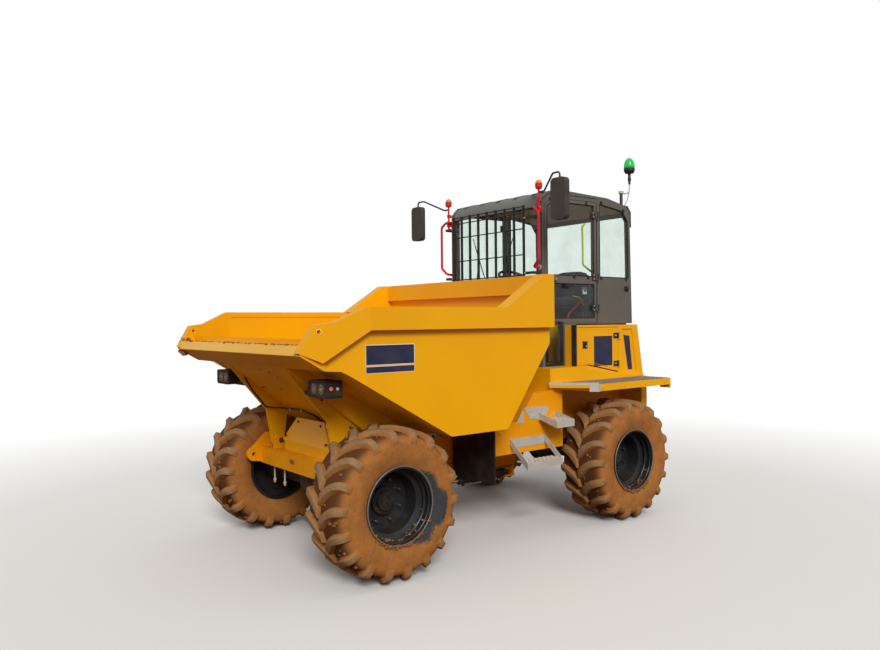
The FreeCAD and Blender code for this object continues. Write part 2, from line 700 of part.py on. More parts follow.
keep(rod("steer_pin", "Z", v.steerPinRadius, yokeLowZ - v.yokePlate - 12,
         yokeHighZ - yokeLowZ + v.yokePlate * 2 + 24, y=v.steerPivotY))

tankShape = [(v.tankFrontY, v.tankLowZ), (v.tankFrontY, v.tankKneeZ - 40), (v.tankFrontY + 40, v.tankKneeZ),
             (v.tankKneeY, v.tankKneeZ), (v.tankTopY, v.deckLowZ), (v.tankRearY, v.deckLowZ),
             (v.tankRearY, v.tankLowZ)]
tankInnerX = v.railHalfGap + v.railPlate
tank = prism("tank_body", "side", tankShape, tankInnerX, v.platformHalfWidth)
tankNotch = block("tank_notch", (tankInnerX - 10, v.archWallX), (v.tankTopY, v.tankRearY + 10),
                  (v.railHighZ - 60, v.deckLowZ + 10))
keep(both("side_tanks", cut("tank_half", tank, tankNotch)))

counterweight = block("counterweight_block", (-v.platformHalfWidth, v.platformHalfWidth),
                      (v.deckRearY, v.counterweightRearY), (v.counterweightLowZ, v.deckTopZ))
hitchPlate = prism("hitch_plate", "plan",
                   [(-110, v.counterweightRearY - 10), (110, v.counterweightRearY - 10),
                    (50, v.hitchRearY), (-50, v.hitchRearY)],
                   v.counterweightLowZ + 20, v.counterweightLowZ + 45)
hitchTop = prism("hitch_top", "plan",
                 [(-110, v.counterweightRearY - 10), (110, v.counterweightRearY - 10),
                  (50, v.hitchRearY), (-50, v.hitchRearY)],
                 v.counterweightLowZ + 45 + v.hitchJaw, v.counterweightLowZ + 70 + v.hitchJaw)
hitchBore = rod("hitch_bore", "Z", v.hitchPinRadius, v.counterweightLowZ, v.hitchJaw + 100,
                y=v.hitchRearY - 50)
keep(cut("counterweight", fuse("counterweight_whole", counterweight, hitchPlate, hitchTop), hitchBore))


# Platform, decks, steps and flaps

platformFront = block("platform_front", (-v.platformHalfWidth, v.platformHalfWidth),
                      (v.platformFrontY, v.platformRearY), (v.deckLowZ, v.platformTopZ))
sillShape = [(v.platformRearY - 5, v.deckTopZ), (v.platformRearY - 5, v.platformTopZ - 27),
             (v.accessRearY + 100, v.deckTopZ + 29), (v.counterweightRearY - 50, v.deckTopZ + 20),
             (v.counterweightRearY - 50, v.deckTopZ)]
sill = prism("sill", "side", sillShape, hoodHalfWidth, v.platformHalfWidth)
keep(fuse("platform", platformFront, sill, mirror("sill_right", sill)))

deckPlan = [(v.platformHalfWidth, v.deckInnerFrontY), (v.deckOuterX, v.deckFrontY),
            (v.deckOuterX, v.deckRearY), (v.archWallX - v.sheet, v.deckRearY),
            (v.archWallX - v.sheet, v.platformRearY), (v.platformHalfWidth, v.platformRearY)]
deckTray = prism("deck_tray", "plan", deckPlan, v.deckLowZ, v.deckTopZ)
deckHollow = prism("deck_hollow", "plan",
                   inset(deckPlan, [v.sheet, v.sheet, v.sheet, v.sheet * 2, v.sheet, v.sheet]),
                   v.deckLowZ - 5, v.deckTopZ - v.sheet)
deckLip = block("deck_lip", (v.deckOuterX - 120, v.deckOuterX), (v.deckRearY - v.sheet, v.deckRearY),
                (v.deckLowZ - v.deckRearLip, v.deckLowZ + 5))
keep(both("decks", fuse("deck_half", cut("deck_open", deckTray, deckHollow), deckLip)))

# Each step is a tread with a turned-down front, hung on two straps from the tank's side.
stepTable = [
    # name, tread's width, outer edge from the tank, front y, length, top z, straps' upper end z
    ("upper", v.upperStepReach, v.upperStepReach, v.upperStepY, v.upperStepLength, v.upperStepZ,
     v.upperStepZ + 62),
    ("lower", v.lowerStepWidth, v.lowerStepReach, v.lowerStepY, v.lowerStepLength, v.lowerStepZ,
     v.lowerStepZ + 200),
]
stepParts = []
for name, width, reach, frontY, length, topZ, strapZ in stepTable:
    outerX = v.platformHalfWidth + reach
    rearY = frontY + length
    tread = block(f"tread_{name}", (outerX - width, outerX), (frontY, rearY), (topZ - v.stepPlate, topZ))
    face = block(f"tread_face_{name}", (outerX - v.stepPlate, outerX), (frontY, rearY),
                 (topZ - v.stepFace, topZ))
    stepParts += [tread, face]
    strapShape = [(v.platformHalfWidth, strapZ), (v.platformHalfWidth, strapZ - 60),
                  (outerX - v.stepPlate, topZ - v.stepFace), (outerX, topZ - v.stepFace), (outerX, topZ)]
    for end, y in (("front", frontY), ("rear", rearY - v.stepPlate)):
        stepParts.append(prism(f"strap_{name}_{end}", "front", strapShape, -(y + v.stepPlate), -y))
kickShape = [(v.upperStepY - 156, v.upperStepZ + 120), (v.upperStepY - 141, v.upperStepZ + 52),
             (v.upperStepY, v.upperStepZ - v.stepPlate), (v.upperStepY + 114, v.upperStepZ + 112)]
stepParts.append(prism("kick_plate", "side", kickShape, v.platformHalfWidth, v.platformHalfWidth + 6))
keep(both("steps", fuse("steps_left", *stepParts)))

flap = block("flap", (v.railHalfGap - 20, v.platformHalfWidth), (v.tankFrontY - 14, v.tankFrontY),
             (v.flapLowZ, v.tankKneeZ))
keep(both("mudflaps", flap))


# Engine and its cover

keep(block("engine_block", (20 - v.railHalfGap, v.railHalfGap - 20),
           (v.platformRearY + 80, v.hoodTopRearY - 110), (engineLowZ, v.hoodTopZ - 265)))

coverShape = [(v.hoodFrontY, v.platformTopZ), (v.hoodFrontY, v.hoodTopZ), (v.hoodTopRearY, v.hoodTopZ),
              (v.counterweightRearY - 10, v.deckTopZ + 20), (v.counterweightRearY - 10, v.deckTopZ),
              (v.platformRearY, v.deckTopZ), (v.platformRearY, v.platformTopZ)]
cover = prism("cover_outer", "side", coverShape, -hoodHalfWidth, hoodHalfWidth)
bayInside = [(v.platformRearY + v.hoodWall, v.deckTopZ - 5),
             (v.platformRearY + v.hoodWall, v.hoodTopZ - v.hoodWall),
             (v.hoodTopRearY - v.hoodWall - 5, v.hoodTopZ - v.hoodWall),
             (v.counterweightRearY - v.hoodWall - 14, v.deckTopZ + 20),
             (v.counterweightRearY - v.hoodWall - 14, v.deckTopZ - 5)]
coverInside = prism("cover_inside", "side", bayInside, v.hoodWall - hoodHalfWidth,
                    hoodHalfWidth - v.hoodWall)
footwell = block("footwell", (-cabHalfWidth, cabHalfWidth), (v.hoodFrontY - 10, v.platformRearY),
                 (v.platformTopZ - 5, v.hoodTopZ + 10))
accessShape = [(v.hoodFrontY + v.accessMargin, v.platformTopZ + 6),
               (v.hoodFrontY + v.accessMargin, v.hoodTopZ - v.accessMargin),
               (v.accessRearY, v.hoodTopZ - v.accessMargin), (v.accessRearY, v.deckTopZ + 56),
               (v.platformRearY + 20, v.platformTopZ + 6)]
accessHole = prism("access_hole", "side", accessShape, hoodHalfWidth - v.hoodWall, hoodHalfWidth + 5)
panelShape = [(v.accessRearY + 60, v.deckTopZ + 60), (v.accessRearY + 60, v.hoodTopZ - 45),
              (v.hoodTopRearY - 90, v.hoodTopZ - 45), (v.hoodTopRearY - 20, v.deckTopZ + 60)]
panelRecess = prism("panel_recess", "side", panelShape, hoodHalfWidth - 12, hoodHalfWidth + 5)
coverOpen = cut("cover_open", cover, coverInside, footwell, accessHole,
                mirror("access_hole_right", accessHole),
                panelRecess, mirror("panel_recess_right", panelRecess))

# An access door's knuckles turn on pins held by ears on the cover.
accessDoorShape = inset(accessShape, [v.doorGap, v.doorGap, v.doorGap, v.doorGap * 3, v.doorGap])
accessSlab = prism("access_slab", "side", accessDoorShape, hoodHalfWidth - v.hoodWall + 1, hoodHalfWidth)
accessHingeX = hoodHalfWidth + v.accessHingeRadius - 1
accessHingeY = v.accessRearY - 10
accessPin = v.accessHingeRadius / 2
knuckleLength = 60
accessParts = [accessSlab]
accessEars = []
for name, z in (("low", v.deckTopZ + 120), ("high", v.hoodTopZ - 140)):
    accessParts.append(rod(f"access_knuckle_{name}", "Z", v.accessHingeRadius, z, knuckleLength,
                           x=accessHingeX, y=accessHingeY))
    accessParts.append(block(f"access_strap_{name}", (hoodHalfWidth - 5, hoodHalfWidth + 5),
                             (v.accessRearY - 70, accessHingeY), (z, z + knuckleLength)))
    accessEars.append(rod(f"access_pin_{name}", "Z", accessPin, z - 8, knuckleLength + 16,
                          x=accessHingeX, y=accessHingeY))
    for end, earZ in (("under", z - 8), ("over", z + knuckleLength + 1)):
        accessEars.append(rod(f"access_ear_{name}_{end}", "Z", v.accessHingeRadius - 2, earZ, 7,
                              x=accessHingeX, y=accessHingeY))
        accessEars.append(block(f"access_lug_{name}_{end}", (hoodHalfWidth + 1, accessHingeX + 7),
                                (accessHingeY, v.accessRearY + 22), (earZ, earZ + 7)))
        accessEars.append(block(f"access_foot_{name}_{end}", (hoodHalfWidth - 2, accessHingeX + 7),
                                (v.accessRearY + 4, v.accessRearY + 22), (earZ, earZ + 7)))
coverEars = fuse("cover_ears", *accessEars)
keep(fuse("engine_cover", coverOpen, coverEars, mirror("cover_ears_right", coverEars)))
accessBore = rod("access_bore", "Z", accessPin + v.turningFit, v.deckTopZ, v.hoodTopZ - v.deckTopZ,
                 x=accessHingeX, y=accessHingeY)
accessDoor = keep(cut("access_door_left", fuse("access_door_whole", *accessParts), accessBore))
keep(mirror("access_door_right", accessDoor))


# Cab

cabShape = [
    (v.cabFrontY, v.platformTopZ), (v.cabFrontY, v.cabRoofZ - 60), (v.cabFrontY + 240, v.cabRoofZ),
    (v.cabRearY - 400, v.cabRoofZ - 18), (v.cabRearY - 30, v.cabRoofRearZ - 20),
    (v.cabRearY, v.cabFloorZ), (v.platformRearY + v.hoodWall, v.cabFloorZ),
    (v.platformRearY + v.hoodWall, v.hoodTopZ), (v.platformRearY, v.hoodTopZ),
    (v.platformRearY, v.platformTopZ),
]
cabRounds = {1: 160, 2: 200, 4: 110}
sideOuter = prism("side_outer", "side", cabShape, cabHalfWidth - v.cabPillar, cabHalfWidth,
                  rounds=cabRounds)
doorTopZ = v.cabRoofZ - 88
hingePlaces = [("low", v.cabFloorZ + 130), ("middle", v.waistZ - 20), ("high", doorTopZ - 160)]
hingeLength = 70
doorHingeX = cabHalfWidth + v.doorHingeRadius + 2
doorHingeY = v.pillarMidY
hingePinRadius = v.doorHingeRadius / 2
hingePins = []
for name, z in hingePlaces:
    hingePins.append(rod(f"hinge_pin_{name}", "Z", hingePinRadius, z - 12, hingeLength + 24,
                         x=doorHingeX, y=doorHingeY))
    for end, earZ in (("under", z - 12), ("over", z + hingeLength + 1)):
        hingePins.append(block(f"hinge_ear_{name}_{end}", (cabHalfWidth - 2, doorHingeX + 9),
                               (doorHingeY - 9, doorHingeY + 14), (earZ, earZ + 11)))
doorway = [
    (v.cabFrontY + v.cabPillar, v.platformTopZ + 8), (v.cabFrontY + v.cabPillar, doorTopZ - 90),
    (v.cabFrontY + v.cabPillar + 90, doorTopZ), (v.pillarMidY - 10, doorTopZ + 10),
    (v.pillarMidY - 10, v.cabFloorZ + 8), (v.hoodFrontY - 24, v.cabFloorZ + 8),
    (v.hoodFrontY - 24, v.platformTopZ + 8),
]
doorwayHole = prism("doorway_hole", "side", doorway, cabHalfWidth - v.cabPillar - 5, cabHalfWidth + 5)
quarterShape = [(v.pillarMidY + v.cabPillar, v.waistZ + 20), (v.pillarMidY + v.cabPillar, doorTopZ),
                (v.cabRearY - 150, doorTopZ - 45), (v.cabRearY - 66, doorTopZ - 150),
                (v.cabRearY - 56, v.waistZ + 20)]
quarterHole = prism("quarter_hole", "side", quarterShape, cabHalfWidth - v.cabPillar - 5,
                    cabHalfWidth + 5)
sideFrameCab = cut("cab_side", sideOuter, doorwayHole, quarterHole)
cabInnerX = cabHalfWidth - v.cabPillar
screenLowZ = v.waistZ - 330
screenHighZ = v.cabRoofZ - 185
frontLow = block("cab_front_low", (-cabInnerX, cabInnerX), (v.cabFrontY, v.cabFrontY + v.cabPillar),
                 (v.platformTopZ, screenLowZ))
rearLow = block("cab_rear_low", (-cabInnerX, cabInnerX), (v.cabRearY - 70, v.cabRearY - 30),
                (v.cabFloorZ, v.waistZ + 20))
cabFloor = block("cab_floor", (-cabInnerX, cabInnerX), (v.platformRearY + v.hoodWall, v.cabRearY - 30),
                 (v.cabFloorZ, v.cabFloorZ + 25))
pillarHinges = fuse("pillar_hinges", *hingePins)
keep(fuse("cab_frame", sideFrameCab, mirror("cab_side_right", sideFrameCab), frontLow, rearLow, cabFloor,
          pillarHinges, mirror("pillar_hinges_right", pillarHinges)))

rearHeadZ = doorTopZ - 90
roofShape = [
    (v.cabFrontY + 4, screenHighZ), (v.cabFrontY + 4, v.cabRoofZ - 62),
    (v.cabFrontY + 240, v.cabRoofZ - 3), (v.cabRearY - 400, v.cabRoofZ - 21),
    (v.cabRearY - 34, v.cabRoofRearZ - 22), (v.cabRearY - 34, rearHeadZ), (v.cabRearY - 68, rearHeadZ),
    (v.cabRearY - 68, v.cabRoofRearZ - 65), (v.cabRearY - 400, v.cabRoofZ - 62),
    (v.cabFrontY + 250, v.cabRoofZ - 46), (v.cabFrontY + 46, v.cabRoofZ - 96),
    (v.cabFrontY + 46, screenHighZ),
]
keep(prism("cab_roof", "side", roofShape, -cabInnerX + v.turningGap, cabInnerX - v.turningGap,
           rounds={1: 150, 2: 200, 4: 100}))

paneY = v.cabFrontY + 10
windscreen = block("windscreen", (-cabInnerX, cabInnerX), (paneY, paneY + v.glassPane),
                   (screenLowZ, screenHighZ))
keep(windscreen)
rearPane = block("rear_pane", (-cabInnerX, cabInnerX), (v.cabRearY - 54, v.cabRearY - 54 + v.glassPane),
                 (v.waistZ + 20, rearHeadZ))
paneX = (cabHalfWidth - 16, cabHalfWidth - 16 + v.glassPane)
quarterPane = prism("quarter_pane", "side", quarterShape, *paneX)
keep(fuse("cab_glass", rearPane, quarterPane, mirror("quarter_pane_right", quarterPane)))

# Each cab door is an L-shaped frame with three panes, hung on the middle pillar.
doorShape = inset(doorway, [v.doorGap] * len(doorway))
doorSlab = prism("door_slab", "side", doorShape, cabHalfWidth - v.doorRail, cabHalfWidth)
innerDoor = inset(doorShape, [v.doorRail] * len(doorShape))
upperWindow = [(innerDoor[1][0], v.waistZ + 20), innerDoor[1], innerDoor[2], innerDoor[3],
               (innerDoor[3][0], v.waistZ + 20)]
middleWindow = [(innerDoor[0][0], v.cabFloorZ + 60), (innerDoor[0][0], v.waistZ - 60),
                (innerDoor[3][0], v.waistZ - 60), (innerDoor[3][0], v.cabFloorZ + 60)]
lowerWindow = [innerDoor[0], (innerDoor[0][0], v.cabFloorZ + 26), (innerDoor[6][0], v.cabFloorZ + 26),
               innerDoor[6]]
doorHoles = []
doorPanes = []
for name, window in (("upper", upperWindow), ("middle", middleWindow), ("lower", lowerWindow)):
    doorHoles.append(prism(f"door_hole_{name}", "side", window, cabHalfWidth - v.doorRail - 5,
                           cabHalfWidth + 5))
    doorPanes.append(prism(f"door_pane_{name}", "side", window, *paneX))
hingeParts = []
for name, z in hingePlaces:
    hingeParts.append(rod(f"door_knuckle_{name}", "Z", v.doorHingeRadius, z, hingeLength,
                          x=doorHingeX, y=doorHingeY))
    hingeParts.append(block(f"door_strap_{name}", (cabHalfWidth - 4, cabHalfWidth + 6),
                            (doorHingeY - 80, doorHingeY - 16), (z, z + hingeLength)))
    hingeParts.append(block(f"door_ear_{name}", (cabHalfWidth + 2, doorHingeX),
                            (doorHingeY - 22, doorHingeY), (z, z + hingeLength)))
hingeBore = rod("hinge_bore", "Z", hingePinRadius + v.turningFit, v.cabFloorZ, v.cabRoofZ - v.cabFloorZ,
                x=doorHingeX, y=doorHingeY)
handle = fuse("door_handle", block("handle_plate", (cabHalfWidth - 4, cabHalfWidth + 12),
                                   (v.cabFrontY + 80, v.cabFrontY + 200), (v.waistZ - 45, v.waistZ + 5)),
              block("handle_grip", (cabHalfWidth + 10, cabHalfWidth + 34),
                    (v.cabFrontY + 90, v.cabFrontY + 190), (v.waistZ - 35, v.waistZ - 10)))
doorWhole = fuse("cab_door_whole", cut("door_frame", doorSlab, *doorHoles), *hingeParts, handle)
cabDoor = keep(cut("cab_door_left", doorWhole, hingeBore))
keep(mirror("cab_door_right", cabDoor))
doorGlass = keep(fuse("door_glass_left", *doorPanes))
keep(mirror("door_glass_right", doorGlass))

# Guard in front of the windscreen: posts, bars and rails, held off the cab by four stays.
guardParts = []
barCount = 9
for i in range(barCount):
    across = guardHalfWidth * (2 * i / (barCount - 1) - 1)
    guardParts.append(block(f"guard_bar_{i}", (across - v.guardBarWidth / 2, across + v.guardBarWidth / 2),
                            (v.guardY - v.guardBarDepth / 2, v.guardY + v.guardBarDepth / 2),
                            (v.guardLowZ, v.guardHighZ)))
for i, z in enumerate((v.guardLowZ + 10, 2603, 2857, 3010, v.guardHighZ - 10)):
    guardParts.append(rod(f"guard_rail_{i}", "X", v.guardRod, -guardHalfWidth, guardHalfWidth * 2,
                          y=v.guardY, z=z))
stay = [block(f"guard_arm_{i}", (guardHalfWidth, cabHalfWidth - 12), (v.guardY - 8, v.guardY + 8),
              (z, z + 26)) for i, z in enumerate((v.guardLowZ + 16, v.guardHighZ - 140))]
stay += [block(f"guard_foot_{i}", (cabInnerX + 6, cabHalfWidth - 12), (v.guardY, v.cabFrontY),
               (z, z + 26)) for i, z in enumerate((v.guardLowZ + 16, v.guardHighZ - 140))]
guardParts += [both("guard_stays", fuse("guard_stays_left", *stay))]
keep(fuse("windscreen_guard", *guardParts))

railX, railY = cabHalfWidth - 20, v.cabFrontY - 85
grabLine = [(railX, v.cabFrontY, 3052), (railX, railY, 3052), (railX + 80, railY - 10, 3000),
            (railX + 80, railY - 10, 2545), (railX, railY, 2474), (railX, v.cabFrontY, 2474)]
keep(both("grab_rails", tube("grab_rail", grabLine, v.handrailRadius, 34)))

# One post on each front pillar carries a corner lamp and a mirror's arm.
postX, postY = (cabHalfWidth - 3, cabHalfWidth + 19), (v.cabFrontY - 45, v.cabFrontY - 25)
lampPost = fuse("lamp_post", block("lamp_foot", (cabInnerX + 4, postX[1]), (postY[0], v.cabFrontY),
                                   (2985, 3032)),
                block("lamp_stand", postX, postY, (2985, 3245)),
                rod("lamp_lens", "Z", 32, 3245, 62, x=cabHalfWidth + 8, y=postY[0] + 10))
keep(both("corner_lamps", lampPost))

mirrorX, mirrorY = cabHalfWidth + 400, v.cabFrontY - 165
armLine = [(postX[1] + v.turningGap, postY[0] + 10, 3198), (postX[1] + 60, postY[0] + 10, 3198),
           (mirrorX - 95, mirrorY + 10, 3318), (mirrorX, mirrorY, 3318), (mirrorX, mirrorY, 3240)]
mirrorHead = prism("mirror_head", "front",
                   [(mirrorX - 88, 2880), (mirrorX + 88, 2880), (mirrorX + 88, 3262), (mirrorX - 88, 3262)],
                   -(mirrorY + 32), -(mirrorY - 32), rounds={0: 40, 1: 40, 2: 40, 3: 40})
keep(both("mirrors", fuse("mirror_left", tube("mirror_arm", armLine, v.mirrorArmRadius, 30), mirrorHead)))

beaconX, beaconY = cabHalfWidth - 22, v.cabRearY + 10
beaconParts = [rod("beacon_stalk", "Z", 11, v.cabRoofRearZ - 240, 615, x=beaconX, y=beaconY),
               rod("beacon_base", "Z", 42, 3560, 40, x=beaconX, y=beaconY),
               rounded("beacon_dome", rod("beacon_lens", "Z", 38, 3600, 120, x=beaconX, y=beaconY), 3720, 26)]
rearLean = 30 / (v.cabRoofRearZ - 20 - v.cabFloorZ)
for name, z in (("low", 2960), ("high", 3045)):
    clampShape = [(v.cabRearY - (z - v.cabFloorZ) * rearLean + v.turningGap, z),
                  (v.cabRearY - (z + 30 - v.cabFloorZ) * rearLean + v.turningGap, z + 30),
                  (beaconY, z + 30), (beaconY, z)]
    beaconParts.append(prism(f"beacon_clamp_{name}", "side", clampShape, beaconX - 18, beaconX + 18))
keep(fuse("beacon", *beaconParts))

# Seat and controls
seatZ = v.cabFloorZ + 25
seatRearY = v.seatFrontY + v.seatDepth
seatBase = block("seat_base", (40 - v.seatHalfWidth, v.seatHalfWidth - 40), (v.seatFrontY + 100, seatRearY),
                 (seatZ, seatZ + 150))
cushionShape = [(v.seatFrontY + 20, seatZ + 150), (v.seatFrontY, seatZ + 230),
                (v.seatFrontY + 20, seatZ + 270), (seatRearY - 20, seatZ + 240), (seatRearY, seatZ + 150)]
seatCushion = prism("seat_cushion", "side", cushionShape, -v.seatHalfWidth, v.seatHalfWidth)
backShape = [(seatRearY - 20, seatZ + 235), (seatRearY - 80, seatZ + 260), (seatRearY, seatZ + 760),
             (seatRearY + 50, seatZ + 780), (seatRearY + 90, seatZ + 740), (seatRearY + 20, seatZ + 160),
             (seatRearY - 20, seatZ + 160)]
seatBack = prism("seat_back", "side", backShape, 10 - v.seatHalfWidth, v.seatHalfWidth - 10)
keep(fuse("seat", seatBase, seatCushion, seatBack))
wheelTilt = math.radians(25)
wheelCentre = Vector(0, 1010, 2400)
wheelAxis = Vector(0, math.sin(wheelTilt), math.cos(wheelTilt))
stemLength = 190
stemFoot = wheelCentre - wheelAxis * stemLength
slope = Vector(0, wheelAxis.z, -wheelAxis.y)
consoleFront, consoleRear = stemFoot - slope * 120, stemFoot + slope * 40
columnShape = [(760, v.platformTopZ), (760, 2120), (consoleFront.y, consoleFront.z),
               (consoleRear.y, consoleRear.z), (900, 2080), (930, v.platformTopZ)]
keep(prism("control_console", "side", columnShape, -170, 170))
steeringRing = Part.makeTorus(180, 14, wheelCentre, wheelAxis)
steeringStem = Part.makeCylinder(16, stemLength, stemFoot, wheelAxis)
spokes = [steeringRing, steeringStem]
for third in range(3):
    angle = math.radians(120 * third)
    spokeTurn = FreeCAD.Rotation(Vector(0, 0, 1), wheelAxis)
    direction = spokeTurn.multVec(Vector(math.sin(angle), math.cos(angle), 0))
    spokes.append(Part.makeCylinder(11, 180, wheelCentre, direction))
keep(shaped("steering_wheel", spokes[0].fuse(spokes[1:]).removeSplitter()))


# Front half of the chassis

sidePlateShape = [(v.frontNoseY, v.frontNoseZ + v.frontNoseRadius), (v.beamFrontY + 60, v.frontFrameHighZ),
                  (v.frontFrameRearY, v.frontFrameHighZ), (v.frontFrameRearY, v.frontFrameLowZ),
                  (v.beamFrontY + 60, v.frontFrameLowZ), (v.frontNoseY, v.frontNoseZ - v.frontNoseRadius)]
plateX = (v.frontPlateX - v.frontPlate, v.frontPlateX)
sidePlate = prism("front_plate_web", "side", sidePlateShape, *plateX)
nose = rod("front_nose", "X", v.frontNoseRadius, plateX[0], v.frontPlate, y=v.frontNoseY, z=v.frontNoseZ)
tieDown = rod("tie_down", "X", v.tieDownRadius, plateX[0] - 5, v.frontPlate + 10,
              y=v.frontNoseY, z=v.frontNoseZ)
frontSide = cut("front_side", fuse("front_side_whole", sidePlate, nose), tieDown)
beam = block("cross_beam", (-plateX[0], plateX[0]), (v.beamFrontY, v.beamFrontY + v.beamDepth),
             (v.frontFrameLowZ, v.tipPivotZ - v.tipEarRadius - 8))
rearBeam = block("rear_beam", (-plateX[0], plateX[0]), (v.frontFrameRearY - 120, v.frontFrameRearY),
                 (v.frontFrameLowZ, v.frontFrameHighZ))
spine = block("spine", (-v.spineHalfWidth, v.spineHalfWidth),
              (v.frontFrameRearY - 120, v.steerPivotY - 120), (v.tongueLowZ, v.tongueHighZ))
tongue = rod("tongue", "Z", v.tongueRadius, v.tongueLowZ, v.tongueHighZ - v.tongueLowZ, y=v.steerPivotY)
neck = block("neck", (-v.tongueRadius + 12, v.tongueRadius - 12), (v.steerPivotY - 125, v.steerPivotY),
             (v.tongueLowZ, v.tongueHighZ))
pinBore = rod("pin_bore", "Z", v.steerPinRadius + v.turningFit, v.tongueLowZ - 5,
              v.tongueHighZ - v.tongueLowZ + 10, y=v.steerPivotY)
ear = fuse("tip_ear",
           rod("ear_boss", "X", v.tipEarRadius, v.gussetX - 80, 50, y=v.tipPivotY, z=v.tipPivotZ),
           block("ear_foot", (v.gussetX - 80, v.gussetX - 30),
                 (v.tipPivotY - v.tipEarRadius, v.tipPivotY + v.tipEarRadius),
                 (v.frontFrameHighZ - 60, v.tipPivotZ)))
earBore = rod("ear_bore", "X", v.tipPinRadius + v.turningFit, v.gussetX - 90, 70,
              y=v.tipPivotY, z=v.tipPivotZ)
tipEar = cut("tip_ear_bored", ear, earBore)
restPad = block("rest_pad", (v.frontPlateX - 160, v.frontPlateX),
                (v.frontFrameRearY - 110, v.frontFrameRearY),
                (v.frontFrameHighZ - 5, v.skipFloorZ - v.turningGap))
slotHalf = v.spineHalfWidth - 30
footLug = block("foot_lug", (slotHalf, v.spineHalfWidth - 5), (v.tipRamFootY - 60, v.tipRamFootY + 60),
                (v.tipRamFootZ - 45, v.tongueLowZ + 10))
ramSlot = block("ram_slot", (-slotHalf, slotHalf), (v.frontFrameRearY - 130, v.tipRamFootY + 120),
                (v.tongueLowZ - 20, v.frontFrameHighZ + 20))
footPin = rod("foot_pin", "X", v.ramPinRadius, -v.spineHalfWidth - 6, (v.spineHalfWidth + 6) * 2,
              y=v.tipRamFootY, z=v.tipRamFootZ)
frontFork = ramFork("front_fork", (v.spineHalfWidth - 30, v.steerRamFrontX + 38),
                    (v.steerRamFrontY - 60, v.steerRamFrontY + 38), v.steerRamFrontX, v.steerRamFrontY)
frontForkWeb = block("front_fork_web", (v.spineHalfWidth - 30, v.spineHalfWidth),
                     (v.steerRamFrontY - 60, v.steerRamFrontY + 38), (v.steerRamZ - 42, v.tongueLowZ + 10))
halfFront = fuse("half_front", frontSide, tipEar, restPad, footLug)
housingSpace = rod("housing_space", "X", v.differentialRadius + 8, -v.differentialHalfWidth - 70,
                   v.differentialHalfWidth * 2 + 140, y=v.frontAxleY, z=axleZ)
frontWhole = fuse("front_whole", halfFront, mirror("half_front_right", halfFront), beam, rearBeam, spine,
                  tongue, neck, frontForkWeb, *frontFork)
frontOpen = cut("front_open", frontWhole, pinBore, housingSpace, ramSlot)
keep(fuse("front_frame", frontOpen, footPin))

signFrontY = v.tipPivotY - 12
signShape = [(-425, 905), (425, 905), (243, 1117), (-243, 1117)]
signLean = [(signFrontY, 905), (v.tipPivotY, 905), (v.tipPivotY + 52, 1117), (v.tipPivotY + 40, 1117)]
sign = common("sign_face", prism("sign_front", "front", signShape, 1430, 1530),
              prism("sign_side", "side", signLean, -430, 430))
signFoot = block("sign_foot", (-380, 380), (signFrontY, v.beamFrontY + v.beamDepth),
                 (v.tipPivotZ - v.tipEarRadius - 8, v.tipPivotZ - v.tipEarRadius + 4))
signStay = block("sign_stay", (-380, 380), (signFrontY, v.tipPivotY), (v.tipPivotZ - v.tipEarRadius - 4, 907))
keep(fuse("sign_plate", sign, signFoot, signStay))


# Skip

skipSide = [
    (v.skipLipLowY - 48, v.lipTipZ + 50), (v.skipLipLowY, v.skipLipLowZ), (v.skipNoseY, v.skipNoseZ),
    (v.skipWheelY, v.skipFloorZ), (v.skipFloorRearY, v.skipFloorZ), (v.skipRearY, v.skipRearKneeZ),
    (v.skipRearY, v.headboardTopZ), (v.skipRearY - v.skipPlate, v.headboardTopZ),
    (v.headboardFootY, v.rimTopZ), (v.rimKinkY, v.rimTopZ), (v.rimShoulderY, v.rimShoulderZ),
    (v.rimEndY + 40, v.rimEndZ),
]
plate = v.skipPlate
clear = -8 * plate
skipWalls = [plate, plate, plate, plate, plate, plate, clear, clear, clear, clear, clear, clear]
tub = prism("tub", "side", skipSide, -v.skipHalfWidth, v.skipHalfWidth)
tubInside = prism("tub_inside", "side", inset(skipSide, skipWalls), plate - v.skipHalfWidth,
                  v.skipHalfWidth - plate)
hopperSide = [(v.skipLipLowY, v.skipLipLowZ), (v.skipFloorFrontY, v.skipFloorZ),
              (v.skipWheelY, v.skipFloorZ), (v.skipWheelY + 60, v.skipFloorZ + 300),
              (v.skipNoseY, v.skipNoseZ + 180)]
hopper = prism("hopper", "side", hopperSide, -v.hopperHalfWidth, v.hopperHalfWidth)
hopperInside = prism("hopper_inside", "side",
                     inset(hopperSide, [plate, plate, clear / 8, clear / 8, plate]),
                     plate - v.hopperHalfWidth, v.hopperHalfWidth - plate)

rimOuterX = v.skipHalfWidth + v.rimOut
kinkY = v.rimKinkY + 23
lean = rimOuterX - lipHalfWidth
undersideFall = (v.skipNoseZ - v.skipFloorZ) / (v.skipWheelY - v.skipNoseY)
kinkUnderZ = v.skipNoseZ - (kinkY - v.skipNoseY) * undersideFall


def leaning(name, outline, outerX, thick):
    """A side profile as an upright plate that leans in from the kink to the lip's tip."""
    planShape = [(outerX, kinkY), (outerX - lean, v.lipTipY), (outerX - lean - thick, v.lipTipY),
                 (outerX - thick, kinkY)]
    return common(name, prism(name + "_profile", "side", outline, v.skipHalfWidth - 250, rimOuterX + 20),
                  prism(name + "_plan", "plan", planShape, v.skipLipLowZ - 300, v.rimTopZ + 20))


